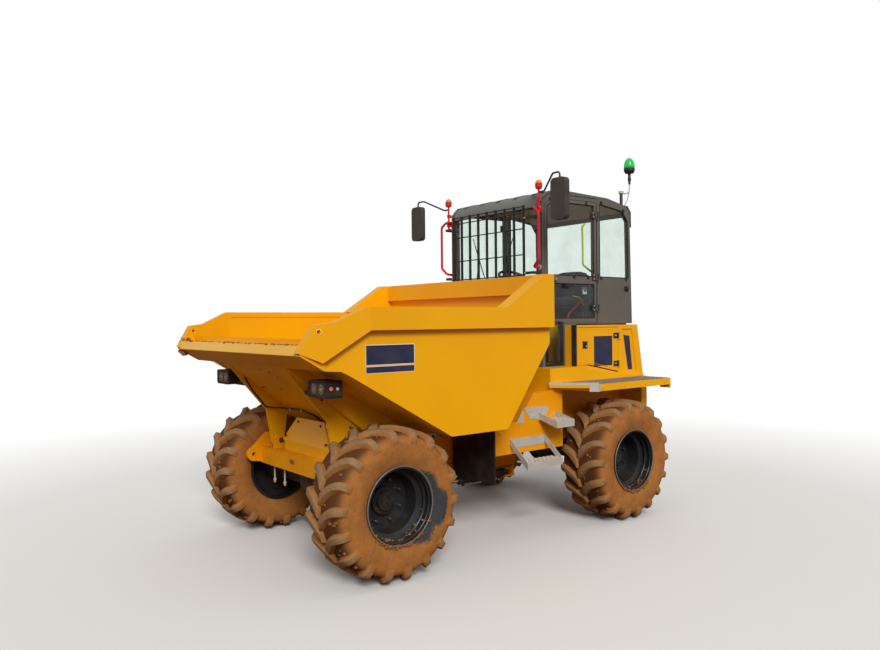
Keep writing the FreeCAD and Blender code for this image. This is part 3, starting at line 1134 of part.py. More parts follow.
leanPlate = leaning("lean_plate", [
    (kinkY, v.rimTopZ - 20), (v.rimKinkY, v.rimTopZ - 20), (v.rimShoulderY, v.rimShoulderZ - 20),
    (v.rimEndY + 40, v.rimEndZ - 20), (v.skipLipLowY - 48, v.lipTipZ + 50), (v.skipLipLowY, v.skipLipLowZ),
    (v.skipNoseY, v.skipNoseZ), (kinkY, kinkUnderZ),
], v.skipHalfWidth, plate)
leanRim = leaning("lean_rim", [
    (kinkY, v.rimTopZ), (v.rimKinkY, v.rimTopZ), (v.rimShoulderY, v.rimShoulderZ), (v.rimEndY, v.rimEndZ),
    (v.lipTipY, v.lipTipZ), (v.rimTipLowY, v.rimTipLowZ), (kinkY, v.rimTopZ - v.rimDepth),
], rimOuterX, v.rimOut + plate)
sideRim = prism("side_rim", "side", [
    (kinkY, v.rimTopZ), (kinkY, v.rimTopZ - v.rimDepth), (v.skipRearY, v.rimTopZ - v.rimDepth),
    (v.skipRearY, v.headboardTopZ), (v.headboardCheekY, v.headboardTopZ), (v.headboardFootY, v.rimTopZ),
], v.skipHalfWidth - plate, rimOuterX)
cheekShape = [(v.headboardFootY, v.rimTopZ), (v.skipRearY, v.rimTopZ), (v.skipRearY, v.headboardTopZ),
              (v.headboardCheekY, v.headboardTopZ)]
cheek = prism("cheek", "side", cheekShape, rimOuterX - v.cheekWidth, rimOuterX)
gussetShape = [
    (v.skipLipLowY + 10, v.skipLipLowZ - 4), (v.tipPivotY - 110, v.tipPivotZ + 280),
    (v.tipPivotY - v.tipEarRadius, v.tipPivotZ), (v.tipPivotY + v.tipEarRadius, v.tipPivotZ),
    (v.tipPivotY + 90, v.skipFloorZ + 60), (v.skipFloorFrontY + 40, v.skipFloorZ + 4),
    (v.skipNoseY, v.skipNoseZ + 40),
]
gussetX = (v.gussetX - v.gussetPlate / 2, v.gussetX + v.gussetPlate / 2)
gusset = prism("gusset", "side", gussetShape, *gussetX)
legBoss = rod("leg_boss", "X", v.tipEarRadius, gussetX[0], v.gussetPlate, y=v.tipPivotY, z=v.tipPivotZ)
legBore = rod("leg_bore", "X", v.tipPinRadius, gussetX[0] - 5, v.gussetPlate + 10,
              y=v.tipPivotY, z=v.tipPivotZ)
leg = cut("leg", fuse("leg_whole", gusset, legBoss), legBore)
ramEarShape = [(v.tipRamHeadY - 70, v.skipFloorZ + 4), (v.tipRamHeadY - 45, v.tipRamHeadZ - 45),
               (v.tipRamHeadY + 45, v.tipRamHeadZ - 45), (v.tipRamHeadY + 70, v.skipFloorZ + 4)]
ramEar = fuse("ram_ear", prism("ram_ear_plate", "side", ramEarShape, 44, 64),
              rod("ram_ear_head", "X", v.ramPinRadius + 6, 62, 10, y=v.tipRamHeadY, z=v.tipRamHeadZ))
cornerCut = prism("corner_cut", "plan",
                  [(v.skipHalfWidth, kinkY), (v.skipHalfWidth + 60, kinkY),
                   (v.skipHalfWidth + 60, v.lipTipY), (v.skipHalfWidth - lean, v.lipTipY)],
                  v.skipLipLowZ - 300, v.rimTopZ + 20)
trimmed = cut("tub_trimmed", tub, cornerCut, mirror("corner_cut_right", cornerCut))
outsideParts = [leg, ramEar]
outside = fuse("skip_outside", trimmed, hopper, *outsideParts,
               *[mirror(part.Name + "_right", part) for part in outsideParts])
hollow = cut("skip_hollow", outside, tubInside, hopperInside)
headRim = block("head_rim", (-v.skipHalfWidth, v.skipHalfWidth),
                (v.skipRearY - v.headboardFold, v.skipRearY),
                (v.headboardTopZ - v.headboardBand, v.headboardTopZ))
lipShape = [(v.lipTipY + 29, v.lipTipZ + 56), (v.lipTipY + 15, v.lipTipZ - 21),
            (v.skipLipLowY, v.skipLipLowZ), (v.skipLipLowY + 12, v.skipLipLowZ + 10),
            (v.skipLipLowY - 40, v.lipTipZ + 52)]
lip = prism("lip", "side", lipShape, -lipHalfWidth, lipHalfWidth)
sideParts = [sideRim, leanRim, leanPlate, cheek]
withRims = fuse("skip_rimmed", hollow, headRim, lip, *sideParts,
                *[mirror(part.Name + "_right", part) for part in sideParts])
tieHole = rod("tie_hole", "X", v.tieHoleRadius, lipHalfWidth - 60, 160, y=v.rimEndY + 30, z=v.rimEndZ - 48)
keep(cut("skip", withRims, tieHole, mirror("tie_hole_right", tieHole)))

pinStart = v.gussetX - 82
tipPin = rod("tip_pin", "X", v.tipPinRadius, pinStart, gussetX[1] + 22 - pinStart,
             y=v.tipPivotY, z=v.tipPivotZ)
keep(both("tip_pins", tipPin))

lampX, lampY, lampZ = (750, 1020), (v.lampFrontY, v.lampFrontY + 140), (1400, 1530)
lampCase = prism("lamp_case", "front", [(lampX[0], lampZ[0]), (lampX[1], lampZ[0]), (lampX[1], lampZ[1]),
                                        (lampX[0], lampZ[1])],
                 -lampY[1], -lampY[0], rounds={0: 26, 1: 26, 2: 26, 3: 26})
lampRecess = block("lamp_recess", (lampX[0] + 20, lampX[1] - 20), (lampY[0] - 5, lampY[0] + 8),
                   (lampZ[0] + 16, lampZ[1] - 16))
lampArm = block("lamp_arm", (gussetX[1] + v.turningGap, lampX[0] + 5), (lampY[0] + 70, lampY[0] + 100),
                (lampZ[0], lampZ[0] + 30))
headlamp = fuse("headlamp", cut("lamp_open", lampCase, lampRecess), lampArm)
keep(both("headlamps", headlamp))


# Rams: a barrel pinned at its foot, a rod with its eye; drawn along X, then turned into place.

def ram(name, foot, head, pinAxis, eyeHalf, barrelRadius, rodRadius, barrelLength, rodStart):
    """The barrel turns on its pin; the rod's eye sits between two plates of the other body."""
    foot, head = Vector(*foot), Vector(*head)
    span = head - foot
    turn = FreeCAD.Rotation(Vector(1, 0, 0), span)
    across = turn.inverted().multVec(pinAxis)
    along = Vector(1, 0, 0)

    def eye(x, radius, half):
        return Part.makeCylinder(radius, half * 2, along * x - across * half, across)

    neck = barrelRadius * 1.1
    barrel = Part.makeCylinder(barrelRadius, barrelLength - neck, along * neck, along)
    barrel = barrel.fuse(eye(0, barrelRadius * 0.75, eyeHalf))
    barrel = barrel.fuse(Part.makeCylinder(barrelRadius * 0.6, neck + 5, Vector(), along))
    barrel = barrel.cut(Part.makeCylinder(rodRadius + v.turningFit, barrelLength,
                                          along * (barrelRadius * 1.8), along))
    barrel = barrel.cut(eye(0, v.ramPinRadius + v.turningFit, eyeHalf + 5))
    bar = Part.makeCylinder(rodRadius, span.Length - rodStart, along * rodStart, along)
    bar = bar.fuse(eye(span.Length, rodRadius * 1.5, eyeHalf))
    for part, shape in (("barrel", barrel), ("rod", bar)):
        piece = keep(shaped(f"{name}_{part}", shape.removeSplitter()))
        piece.Placement = FreeCAD.Placement(foot, turn)


ram("tip_ram", (0, v.tipRamFootY, v.tipRamFootZ), (0, v.tipRamHeadY, v.tipRamHeadZ), Vector(1, 0, 0), 38,
    v.tipBarrelRadius, v.tipRodRadius, v.tipBarrelLength, v.tipRodStart)
ram("steer_ram", (v.steerRamRearX, v.steerRamRearY, v.steerRamZ),
    (v.steerRamFrontX, v.steerRamFrontY, v.steerRamZ), Vector(0, 0, 1), v.ramEyeHalf,
    v.steerBarrelRadius, v.steerRodRadius, v.steerBarrelLength, v.steerRodStart)


# Build, check and write each piece to a file of its own name.

doc.recompute()
failed = [thing.Name for thing in doc.Objects if "Invalid" in thing.State or "Error" in thing.State]
assert not failed, f"not built: {failed}"
os.makedirs("parts", exist_ok=True)
for piece in pieces:
    shape = piece.Shape
    assert not shape.isNull() and shape.isValid(), f"{piece.Label} is null or not valid"
    assert shape.Solids, f"{piece.Label} has no solid"
    shape.exportStep(f"parts/{piece.Label}.step")
print(len(pieces), "pieces written")
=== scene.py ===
from functools import partial
import json
import math
import random

import bmesh
import bpy
from mathutils import Matrix, Vector, noise


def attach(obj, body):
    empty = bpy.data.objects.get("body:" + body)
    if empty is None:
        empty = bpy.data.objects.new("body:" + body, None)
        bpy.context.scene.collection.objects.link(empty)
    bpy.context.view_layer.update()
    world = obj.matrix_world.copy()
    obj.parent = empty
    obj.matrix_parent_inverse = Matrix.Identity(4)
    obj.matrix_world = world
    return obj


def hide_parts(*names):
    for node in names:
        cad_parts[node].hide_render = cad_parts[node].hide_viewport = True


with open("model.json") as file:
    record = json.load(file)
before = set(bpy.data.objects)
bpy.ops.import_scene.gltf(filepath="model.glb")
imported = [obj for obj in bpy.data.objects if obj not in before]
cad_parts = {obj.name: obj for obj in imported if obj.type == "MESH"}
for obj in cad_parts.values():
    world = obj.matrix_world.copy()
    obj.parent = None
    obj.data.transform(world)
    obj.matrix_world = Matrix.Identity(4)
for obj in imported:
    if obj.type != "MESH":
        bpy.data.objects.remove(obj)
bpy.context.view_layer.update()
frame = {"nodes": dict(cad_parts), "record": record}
nodes = frame["nodes"]
random.seed(7)
print("frame loaded,", len(nodes), "nodes")


# Colours and shader nodes

def linear(hexColour, alpha=1.0):  # sRGB hex to the linear values Blender works in
    values = [int(hexColour[i:i + 2], 16) / 255 for i in (1, 3, 5)]
    return tuple(v / 12.92 if v <= 0.04045 else ((v + 0.055) / 1.055) ** 2.4 for v in values) + (alpha,)


# The settings go from property or socket to value, the links from socket to output.
def addNode(tree, kind, settings=None, links=None):
    node = tree.nodes.new("ShaderNode" + kind)
    for key, value in (settings or {}).items():
        if isinstance(key, int) or (key in node.inputs and not hasattr(node, str(key))):
            node.inputs[key].default_value = value
        else:
            setattr(node, key, value)
    for key, output in (links or {}).items():
        tree.links.new(output, node.inputs[key])
    return node


def newMaterial(name):
    material = bpy.data.materials.new(name)
    material.use_nodes = True
    tree = material.node_tree
    tree.nodes.clear()
    return material, tree


def ramp(tree, source, low, high):  # 0 below low, 1 above high
    return addNode(tree, "MapRange", {1: low, 2: high}, {0: source}).outputs[0]


def feed(tree, node, inputs):  # each socket takes a link or a plain value
    for key, value in inputs.items():
        if hasattr(value, "is_linked"):
            tree.links.new(value, node.inputs[key])
        else:
            node.inputs[key].default_value = value


def mixColour(tree, factor, first, second):
    node = addNode(tree, "Mix", {"data_type": "RGBA"})
    feed(tree, node, {0: factor, 6: first, 7: second})
    return node.outputs[2]


def calculate(tree, operation, first, second):
    node = addNode(tree, "Math", {"operation": operation, "use_clamp": True})
    feed(tree, node, {0: first, 1: second})
    return node.outputs[0]


def cloud(tree, place, size, detail=4.0, rough=0.55):  # noise with features about size metres across
    return addNode(tree, "TexNoise", {"Scale": 1 / size, "Detail": detail, "Roughness": rough},
                   {"Vector": place}).outputs[0]


def finish(tree, settings, links):
    shader = addNode(tree, "BsdfPrincipled", settings, links)
    addNode(tree, "OutputMaterial", None, {"Surface": shader.outputs[0]})


# Sprayed enamel over plate steel: even colour, soft gloss, rounded edges, dust low down and on ledges.

def enamel(name, hexColour, shade, gloss=0.36, dust="#9A6B40", dustLevel=0.35, grimeHeight=1.4, edge=0.003):
    material, tree = newMaterial(name)
    place = addNode(tree, "TexCoord").outputs["Object"]
    fade = ramp(tree, cloud(tree, place, 0.9), 0.35, 0.7)
    colour = mixColour(tree, fade, linear(hexColour), linear(shade))
    up = addNode(tree, "SeparateXYZ", None, {0: addNode(tree, "NewGeometry").outputs["Normal"]}).outputs[2]
    height = addNode(tree, "SeparateXYZ", None, {0: place}).outputs[2]
    low = calculate(tree, "SUBTRACT", 1.0, ramp(tree, height, 0.25, grimeHeight))
    ledge = calculate(tree, "MULTIPLY", ramp(tree, up, 0.3, 1.0), 0.32)
    patches = ramp(tree, cloud(tree, place, 0.16, 8.0, 0.7), 0.42, 0.68)
    specks = ramp(tree, cloud(tree, place, 0.012, 3.0), 0.66, 0.74)
    settled = calculate(tree, "MULTIPLY", calculate(tree, "ADD", low, ledge), patches)
    dirt = calculate(tree, "MULTIPLY", calculate(tree, "ADD", settled, calculate(tree, "MULTIPLY", specks,
                                                                                 0.25)), dustLevel)
    colour = mixColour(tree, dirt, colour, linear(dust))
    rough = addNode(tree, "MapRange", {1: 0.0, 2: 1.0, 3: gloss, 4: 0.85}, {0: dirt}).outputs[0]
    soft = addNode(tree, "Bevel", {"samples": 4, "Radius": edge}).outputs[0]
    peel = addNode(tree, "Bump", {"Strength": 0.03, "Distance": 0.004},
                   {"Height": cloud(tree, place, 0.02, 2.0), "Normal": soft}).outputs[0]
    finish(tree, {"Specular IOR Level": 0.3, "IOR": 1.5}, {"Base Color": colour, "Roughness": rough,
                                                           "Normal": peel})
    return material


# Moulded or painted surface with a fine grain and a little dust.
def grained(name, hexColour, dustHex, rough=0.6, dustLevel=0.3, grain=0.004, metallic=0.0, bump=0.15):
    material, tree = newMaterial(name)
    place = addNode(tree, "TexCoord").outputs["Object"]
    dirt = calculate(tree, "MULTIPLY", ramp(tree, cloud(tree, place, 0.12, 8.0, 0.65), 0.4, 0.75), dustLevel)
    colour = mixColour(tree, dirt, linear(hexColour), linear(dustHex))
    roughness = addNode(tree, "MapRange", {3: rough, 4: 0.95}, {0: dirt}).outputs[0]
    bumped = addNode(tree, "Bump", {"Strength": bump, "Distance": 0.001},
                     {"Height": cloud(tree, place, grain, 2.0)})
    finish(tree, {"Metallic": metallic},
           {"Base Color": colour, "Roughness": roughness, "Normal": bumped.outputs[0]})
    return material


def tintedGlass():  # toughened glass with the green edge tint of plant cabs
    material, tree = newMaterial("toughened glass, green tint")
    clear = addNode(tree, "BsdfTransparent", {"Color": linear("#F8FCFA")})
    gloss = addNode(tree, "BsdfGlossy", {"Color": linear("#F4FAF8"), "Roughness": 0.02})
    place = addNode(tree, "TexCoord").outputs["Object"]
    film = addNode(tree, "BsdfDiffuse", {"Color": linear("#A89A86")})
    # The same from both faces of a pane.
    graze = addNode(tree, "LayerWeight", {"Blend": 0.5}).outputs["Facing"]
    graze = calculate(tree, "POWER", graze, 4.0)
    mirrored = addNode(tree, "MapRange", {3: 0.03, 4: 0.9}, {0: graze}).outputs[0]
    pane = addNode(tree, "MixShader", None, {0: mirrored, 1: clear.outputs[0], 2: gloss.outputs[0]})
    dirty = calculate(tree, "MULTIPLY", ramp(tree, cloud(tree, place, 0.2, 6.0), 0.45, 0.8), 0.05)
    whole = addNode(tree, "MixShader", None, {0: dirty, 1: pane.outputs[0], 2: film.outputs[0]})
    addNode(tree, "OutputMaterial", None, {"Surface": whole.outputs[0]})
    return material


def lens(name, hexColour, glow=0.0):  # clear moulded acrylic over a reflector
    material, tree = newMaterial(name)
    finish(tree, {"Base Color": linear(hexColour), "Roughness": 0.12, "Specular IOR Level": 0.6, "IOR": 1.49,
                  "Emission Color": linear(hexColour), "Emission Strength": glow}, {})
    return material


# Tyre: dark rubber under dried clay; the depth attribute is 0 on the casing between the lugs and 1 on the
# lugs' tops, and the casing between the lugs is painted darker as shade.
def muddyRubber():
    material, tree = newMaterial("tyre rubber caked in dried clay")
    place = addNode(tree, "TexCoord").outputs["Object"]
    depth = addNode(tree, "Attribute", {"attribute_name": "depth"}).outputs["Fac"]
    bare = addNode(tree, "Attribute", {"attribute_name": "bare"}).outputs["Fac"]
    broad = ramp(tree, cloud(tree, place, 0.14, 5.0), 0.35, 0.65)
    fine = ramp(tree, cloud(tree, place, 0.02, 8.0, 0.7), 0.3, 0.7)
    clay = mixColour(tree, broad, linear("#A5662B"), linear("#8A531F"))
    clay = mixColour(tree, calculate(tree, "MULTIPLY", fine, 0.45), clay, linear("#B0804A"))
    worn = mixColour(tree, fine, linear("#A17D57"), linear("#83623F"))
    grooveShade = addNode(tree, "Attribute", {"attribute_name": "grooveShade"}).outputs["Fac"]
    # Painted shade: the clay colour darkens on the casing between the lugs.
    clay = mixColour(tree, calculate(tree, "MULTIPLY", grooveShade, 0.85), clay, linear("#462811"))
    colour = mixColour(tree, ramp(tree, depth, 0.55, 0.95), clay, worn)
    rubber = mixColour(tree, fine, linear("#2E3236"), linear("#424443"))
    bared = ramp(tree, calculate(tree, "ADD", bare, calculate(tree, "MULTIPLY", fine, 0.25)), 0.55, 0.7)
    colour = mixColour(tree, bared, colour, rubber)
    crumbs = addNode(tree, "Bump", {"Strength": 0.5, "Distance": 0.008},
                     {"Height": cloud(tree, place, 0.025, 8.0, 0.7)}).outputs[0]
    finish(tree, {"Roughness": 0.88, "Specular IOR Level": 0.25}, {"Base Color": colour, "Normal": crumbs})
    return material


yellow = enamel("yellow enamel on plate", "#F0AC00", "#EAA300", dustLevel=0.28, grimeHeight=1.15)
# The frame's yellow is a darker, oranger copy of the skip's yellow that paints the shade on the frame, with
# splashed dust on top.
frameYellowShadedAndSplashed = enamel("yellow enamel, darkened as painted shade, splashed", "#EE9E00", "#E08D02", dust="#8A5A2C", dustLevel=0.45,
                     grimeHeight=1.15)
cabGrey = enamel("cab grey enamel", "#67635D", "#5C5751", gloss=0.42, dustLevel=0.15)
roofGrey = enamel("roof grey enamel", "#767875", "#6C6E6B", gloss=0.5, dustLevel=0.25)
gunmetal = enamel("gunmetal enamel on bars", "#2E3330", "#262A28", gloss=0.4, dustLevel=0.15)
chassisBlack = enamel("black chassis enamel, dusty", "#17171A", "#1E1D1E", gloss=0.45, dust="#7A5A3C",
                      dustLevel=0.5, grimeHeight=1.2)
rimBlack = enamel("black rim enamel, dusty", "#1B1D20", "#24272A", gloss=0.3, dust="#6E5540", dustLevel=0.22,
                  grimeHeight=0.9)
handrailRed = enamel("red enamel on tube", "#D8262C", "#C81F26", gloss=0.3, dustLevel=0.1)
zinc = grained("hot dipped zinc", "#CBC8C0", "#A08C70", rough=0.5, dustLevel=0.4, grain=0.03, metallic=0.35)
blackPlastic = grained("moulded black polypropylene", "#1D1D1F", "#6B5C4C", rough=0.55, dustLevel=0.25)
blackTrim = grained("black rubber seal", "#121214", "#4E463C", rough=0.7, dustLevel=0.2)
flapRubber = grained("black sheet rubber", "#121113", "#5A4530", rough=0.75, dustLevel=0.45, grain=0.01)
cloth = grained("woven seat cloth", "#232428", "#3A3631", rough=0.9, dustLevel=0.3, grain=0.003, bump=0.5)
engineIron = grained("cast iron, painted dark", "#26272A", "#4A3B2C", rough=0.7, dustLevel=0.5, grain=0.006)
chrome = grained("hard chrome plate", "#D7D7D8", "#A79B8C", rough=0.12, dustLevel=0.15, metallic=1.0,
                 bump=0.02)
steel = grained("turned steel", "#8B8A88", "#5E4C3A", rough=0.35, dustLevel=0.4, metallic=1.0)
navy = grained("navy vinyl film", "#1E2445", "#6B6155", rough=0.35, dustLevel=0.2, bump=0.02)
mirrorBack = grained("textured ABS shell", "#3A3836", "#6B6055", rough=0.6, dustLevel=0.25)
glass = tintedGlass()
greenLens = lens("green acrylic lens", "#14B84A", 0.25)
amberLens = lens("amber acrylic lens", "#E8741A", 0.15)
redLens = lens("red acrylic lens", "#C8201C", 0.1)
clearLens = lens("clear acrylic lens", "#C9CCCB")
tyreClay = muddyRubber()
clay = grained("dried clay, crumbled", "#8C5A2C", "#6E4522", rough=0.95, dustLevel=0.7, grain=0.008, bump=0.8)
# Paler yellow: partly wear from the load, partly a painted highlight copying the lip's bright front band.
scuffedAndHighlit = enamel("yellow enamel, polished by the load", "#FFCB58", "#FBC048", gloss=0.3, dust="#9A6A30",
                 dustLevel=0.35)
# Painted shade: a dark orange copy of the yellow enamel standing in for the shade inside the rim's folded
# ends.
paintedShadeInFold = enamel("yellow enamel darkened as painted shade in a fold", "#8A4A06", "#6E3A05", gloss=0.5, dust="#5A3A1E",
                    dustLevel=0.6)
whiteFilm = grained("white vinyl film", "#E6E4DF", "#A08C74", rough=0.4, dustLevel=0.25, bump=0.02)
gripDeck = grained("zinc grip plate, trodden", "#8F877B", "#7A6148", rough=0.65, dustLevel=0.75, grain=0.02,
                   metallic=0.35, bump=0.4)
hiVis = enamel("hi-vis green enamel", "#C6E021", "#B6D018", gloss=0.3, dustLevel=0.05)
hose = grained("braided hydraulic hose", "#1B1B1C", "#5C4A38", rough=0.6, dustLevel=0.4, grain=0.003,
               bump=0.35)
liner = grained("grey felt headliner", "#D2D5D0", "#B5B1A8", rough=0.95, dustLevel=0.2, grain=0.003, bump=0.3)
mat = grained("ribbed rubber floor mat", "#1B1A1A", "#6B5236", rough=0.85, dustLevel=0.6, grain=0.01,
              bump=0.4)
silvered = grained("silvered mirror glass", "#DDE2E4", "#B0A898", rough=0.04, dustLevel=0.1, metallic=1.0,
                   bump=0.0)
wornEdge = grained("rim lip worn to bare steel", "#8D8781", "#6E5540", rough=0.45, dustLevel=0.7, grain=0.01,
                   metallic=0.6, bump=0.3)

finishes = {
    "yellow_paint": yellow, "grey_paint": cabGrey, "black_paint": chassisBlack, "tyre_rubber": tyreClay,
    "rim_paint": rimBlack, "ram_paint": chassisBlack, "ram_chrome": chrome, "glass": glass, "zinc": zinc,
    "black_plastic": blackPlastic, "seat_cloth": cloth, "red_paint": handrailRed, "green_lens": greenLens,
    "amber_lens": amberLens, "engine_iron": engineIron, "flap_rubber": flapRubber,
    "pin_steel": steel,
}
ownFinish = {"rear_frame": frameYellowShadedAndSplashed, "front_frame": frameYellowShadedAndSplashed, "side_tanks": frameYellowShadedAndSplashed,
             "mirrors": mirrorBack, "cab_roof": roofGrey, "windscreen_guard": gunmetal}
slotOf = {part["node"]: part["material_slot"] for part in frame["record"]["subparts"]}
for nodeName, node in nodes.items():
    node.data.materials.clear()
    node.data.materials.append(ownFinish.get(nodeName, finishes[slotOf[nodeName]]))
print("finishes on the plain nodes")


# Mesh building

def meshPiece(name, bm, finishes, body, bevel=0.0, smooth=False, replaces=()):
    mesh = bpy.data.meshes.new(name)
    bmesh.ops.recalc_face_normals(bm, faces=bm.faces)
    bm.to_mesh(mesh)
    bm.free()
    for one in finishes if isinstance(finishes, (list, tuple)) else [finishes]:
        mesh.materials.append(one)
    for face in mesh.polygons:
        face.use_smooth = smooth
    piece = bpy.data.objects.new(name, mesh)
    bpy.context.scene.collection.objects.link(piece)
    if bevel:
        modifier = piece.modifiers.new("edges", "BEVEL")
        modifier.width = bevel
        modifier.segments = 2
        modifier.limit_method = "ANGLE"
        modifier.angle_limit = math.radians(40)
    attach(piece, body)
    if replaces:
        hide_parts(*replaces)
    return piece


def onSide(side, place):  # a place on the machine's left, or its mirror image
    return (place[0] * side, place[1], place[2])


def turns(count, start=0.0):  # evenly spaced angles
    return [math.tau * (k + start) / count for k in range(count)]


def paint(made, tag):  # the finish of what was just made
    for face in {face for vert in made for face in vert.link_faces}:
        face.material_index = tag


def bridge(bm, first, second, closed=True):  # quads between two rings of verts
    count = len(first)
    return [bm.faces.new((first[k], first[(k + 1) % count], second[(k + 1) % count], second[k]))
            for k in range(count if closed else count - 1)]


def closeRound(bm, rings, closed=True):  # joins each ring to the next, and the last to the first
    for first, second in zip(rings, rings[1:] + rings[:1]):
        bridge(bm, first, second, closed)


def addLoft(bm, rings, tag=0, caps=True):  # skin over rings of places
    rings = [[bm.verts.new(place) for place in ring] for ring in rings]
    faces = [bm.faces.new(rings[0]), bm.faces.new(rings[-1])] if caps else []
    for first, second in zip(rings, rings[1:]):
        faces += bridge(bm, first, second)
    for face in faces:
        face.material_index = tag


def addBox(bm, low, high, turn=None, tag=0):
    low, high = Vector(low), Vector(high)
    made = bmesh.ops.create_cube(bm, size=1.0)["verts"]
    bmesh.ops.scale(bm, verts=made, vec=high - low)
    if turn:
        bmesh.ops.rotate(bm, verts=made, matrix=turn)
    bmesh.ops.translate(bm, verts=made, vec=(low + high) / 2)
    paint(made, tag)


def addSideBox(bm, side, low, high, tag=0):  # given for the left, set on the side asked for
    addBox(bm, (min(side * low[0], side * high[0]), low[1], low[2]),
           (max(side * low[0], side * high[0]), high[1], high[2]), tag=tag)


def addPair(bm, low, high, tag=0):  # a box and its mirror image
    for side in (1, -1):
        addSideBox(bm, side, low, high, tag)


def addRod(bm, start, end, radius, sides=16, tag=0, tip=None):
    start, end = Vector(start), Vector(end)
    axis = end - start
    made = bmesh.ops.create_cone(bm, cap_ends=True, segments=sides, radius1=radius,
                                 radius2=radius if tip is None else tip, depth=axis.length)["verts"]
    bmesh.ops.rotate(bm, verts=made, matrix=Vector((0, 0, 1)).rotation_difference(axis).to_matrix())
    bmesh.ops.translate(bm, verts=made, vec=(start + end) / 2)
    paint(made, tag)


def addStud(bm, side, xs, y, z, radius, sides=16, tag=0, tip=None):  # a rod that stands out sideways
    addRod(bm, (side * xs[0], y, z), (side * xs[1], y, z), radius, sides, tag, tip)


def addBead(bm, x, outline, radius, tag=0, closed=True):  # a round bead along an outline in Y and Z
    ends = outline[1:] + outline[:1] if closed else outline[1:]
    for (ya, za), (yb, zb) in zip(outline, ends):
        addRod(bm, (x, ya, za), (x, yb, zb), radius, 8, tag)


def addPrism(bm, axis, outline, low, high, tag=0):  # outline in the two other axes, in X, Y, Z order
    addLoft(bm, [[spot[:axis] + (level,) + spot[axis:] for spot in outline] for level in (low, high)], tag)


def addTube(bm, points, radius, bend=0.03, sides=12, tag=0):  # straight runs joined by arcs
    points = [Vector(point) for point in points]
    route = [points[0]]
    for before, corner, after in zip(points, points[1:], points[2:]):
        back, ahead = (before - corner).normalized(), (after - corner).normalized()
        half = back.angle(ahead) / 2
        reach = min(bend / math.tan(half), (before - corner).length / 2.1, (after - corner).length / 2.1)
        for k in range(7):
            f = k / 6
            route.append(corner + back * reach * (1 - f) ** 2 + ahead * reach * f ** 2)
    route.append(points[-1])
    rings, side = [], None
    for i, point in enumerate(route):
        along = (route[min(i + 1, len(route) - 1)] - route[max(i - 1, 0)]).normalized()
        side = (side - along * side.dot(along)).normalized() if side else along.orthogonal().normalized()
        up = along.cross(side)
        rings.append([point + (side * math.cos(a) + up * math.sin(a)) * radius for a in turns(sides)])
    addLoft(bm, rings, tag)


def addLathe(bm, x, y, profile, sides=36, tag=0):  # heights and radii turned about an upright axis
    addLoft(bm, [[(x + radius * math.cos(a), y + radius * math.sin(a), z) for a in turns(sides)]
                 for z, radius in profile], tag)


def addPanel(bm, corners, push, tag=0):  # flat panel from its corners, as thick as the push
    addLoft(bm, [[Vector(corner) + Vector(push) * k for corner in corners] for k in (0, 1)], tag)


def addBolt(bm, place, axis, size=0.012, tag=0):  # washer and hexagon head standing out along the axis
    place, axis = Vector(place), Vector(axis).normalized()
    addRod(bm, place, place + axis * size * 0.25, size * 1.3, 14, tag)
    addRod(bm, place + axis * size * 0.25, place + axis * size * 0.95, size, 6, tag)


def addWeld(bm, start, end, radius=0.004):  # hand laid bead with its ripple
    start, end = Vector(start), Vector(end)
    along = (end - start).normalized()
    side = along.orthogonal().normalized()
    up = along.cross(side)
    count = max(4, int((end - start).length / 0.009))
    rings = []
    for i in range(count + 1):
        swell = radius * (0.85 + 0.15 * math.cos(i * 2.2) + random.uniform(-0.06, 0.06))
        rings.append([start.lerp(end, i / count) + (side * math.cos(a) + up * math.sin(a)) * swell
                      for a in turns(6)])
    addLoft(bm, rings, caps=False)


def addLump(bm, place, size, flat=0.6):  # crumb of dried clay
    place = Vector(place)
    made = bmesh.ops.create_icosphere(bm, subdivisions=2, radius=size)["verts"]
    spin = Matrix.Rotation(random.uniform(0, math.tau), 3, "Z")
    for vert in made:
        vert.co *= 1 + 0.6 * noise.noise(vert.co / size * 1.3 + place * 31)
        vert.co.z *= flat
        vert.co = spin @ vert.co + place


# Stuffed cushion: a box with swollen faces and soft edges.
def addPad(bm, centre, size, crown=0.35, turn=None):
    made = bmesh.ops.create_uvsphere(bm, u_segments=40, v_segments=26, radius=1.0)["verts"]
    for vert in made:
        p = vert.co
        reach = (abs(p.x) ** 5 + abs(p.y) ** 5 + abs(p.z) ** 5) ** 0.2
        soft = p / reach
        bulge = 1 - crown * (p.x ** 2 + p.y ** 2) / 2
        vert.co = Vector((soft.x * size[0] / 2, soft.y * size[1] / 2, soft.z * size[2] / 2 * bulge))
    if turn:
        bmesh.ops.rotate(bm, verts=made, matrix=turn)
    bmesh.ops.translate(bm, verts=made, vec=centre)


# Tyres: chevron lugs on a bulging casing, caked with clay

tyre = {
    "lugs": 18, "segments": 108, "lean": 0.135, "lugTop": 0.041, "lugFoot": 0.068, "radius": 0.585,
    "casing": [(0, 0.547), (0.06, 0.5465), (0.12, 0.544), (0.165, 0.538), (0.198, 0.529), (0.222, 0.513),
               (0.237, 0.489), (0.2445, 0.46), (0.247, 0.425), (0.244, 0.388), (0.237, 0.352), (0.228, 0.325),
               (0.219, 0.306), (0.212, 0.292)],
    "foot": [(0.003, 0.543), (0.05, 0.544), (0.10, 0.542), (0.15, 0.538), (0.193, 0.527), (0.219, 0.511),
             (0.234, 0.488), (0.2425, 0.464)],
    "top": [(0.005, 0.5835), (0.05, 0.5845), (0.10, 0.583), (0.15, 0.580), (0.199, 0.573), (0.231, 0.552),
            (0.2465, 0.519), (0.2465, 0.470)],
}


def tyrePoint(centre, side, x, radius, angle):
    return Vector((centre[0] + side * x, centre[1] + radius * math.cos(angle),
                   centre[2] + radius * math.sin(angle)))


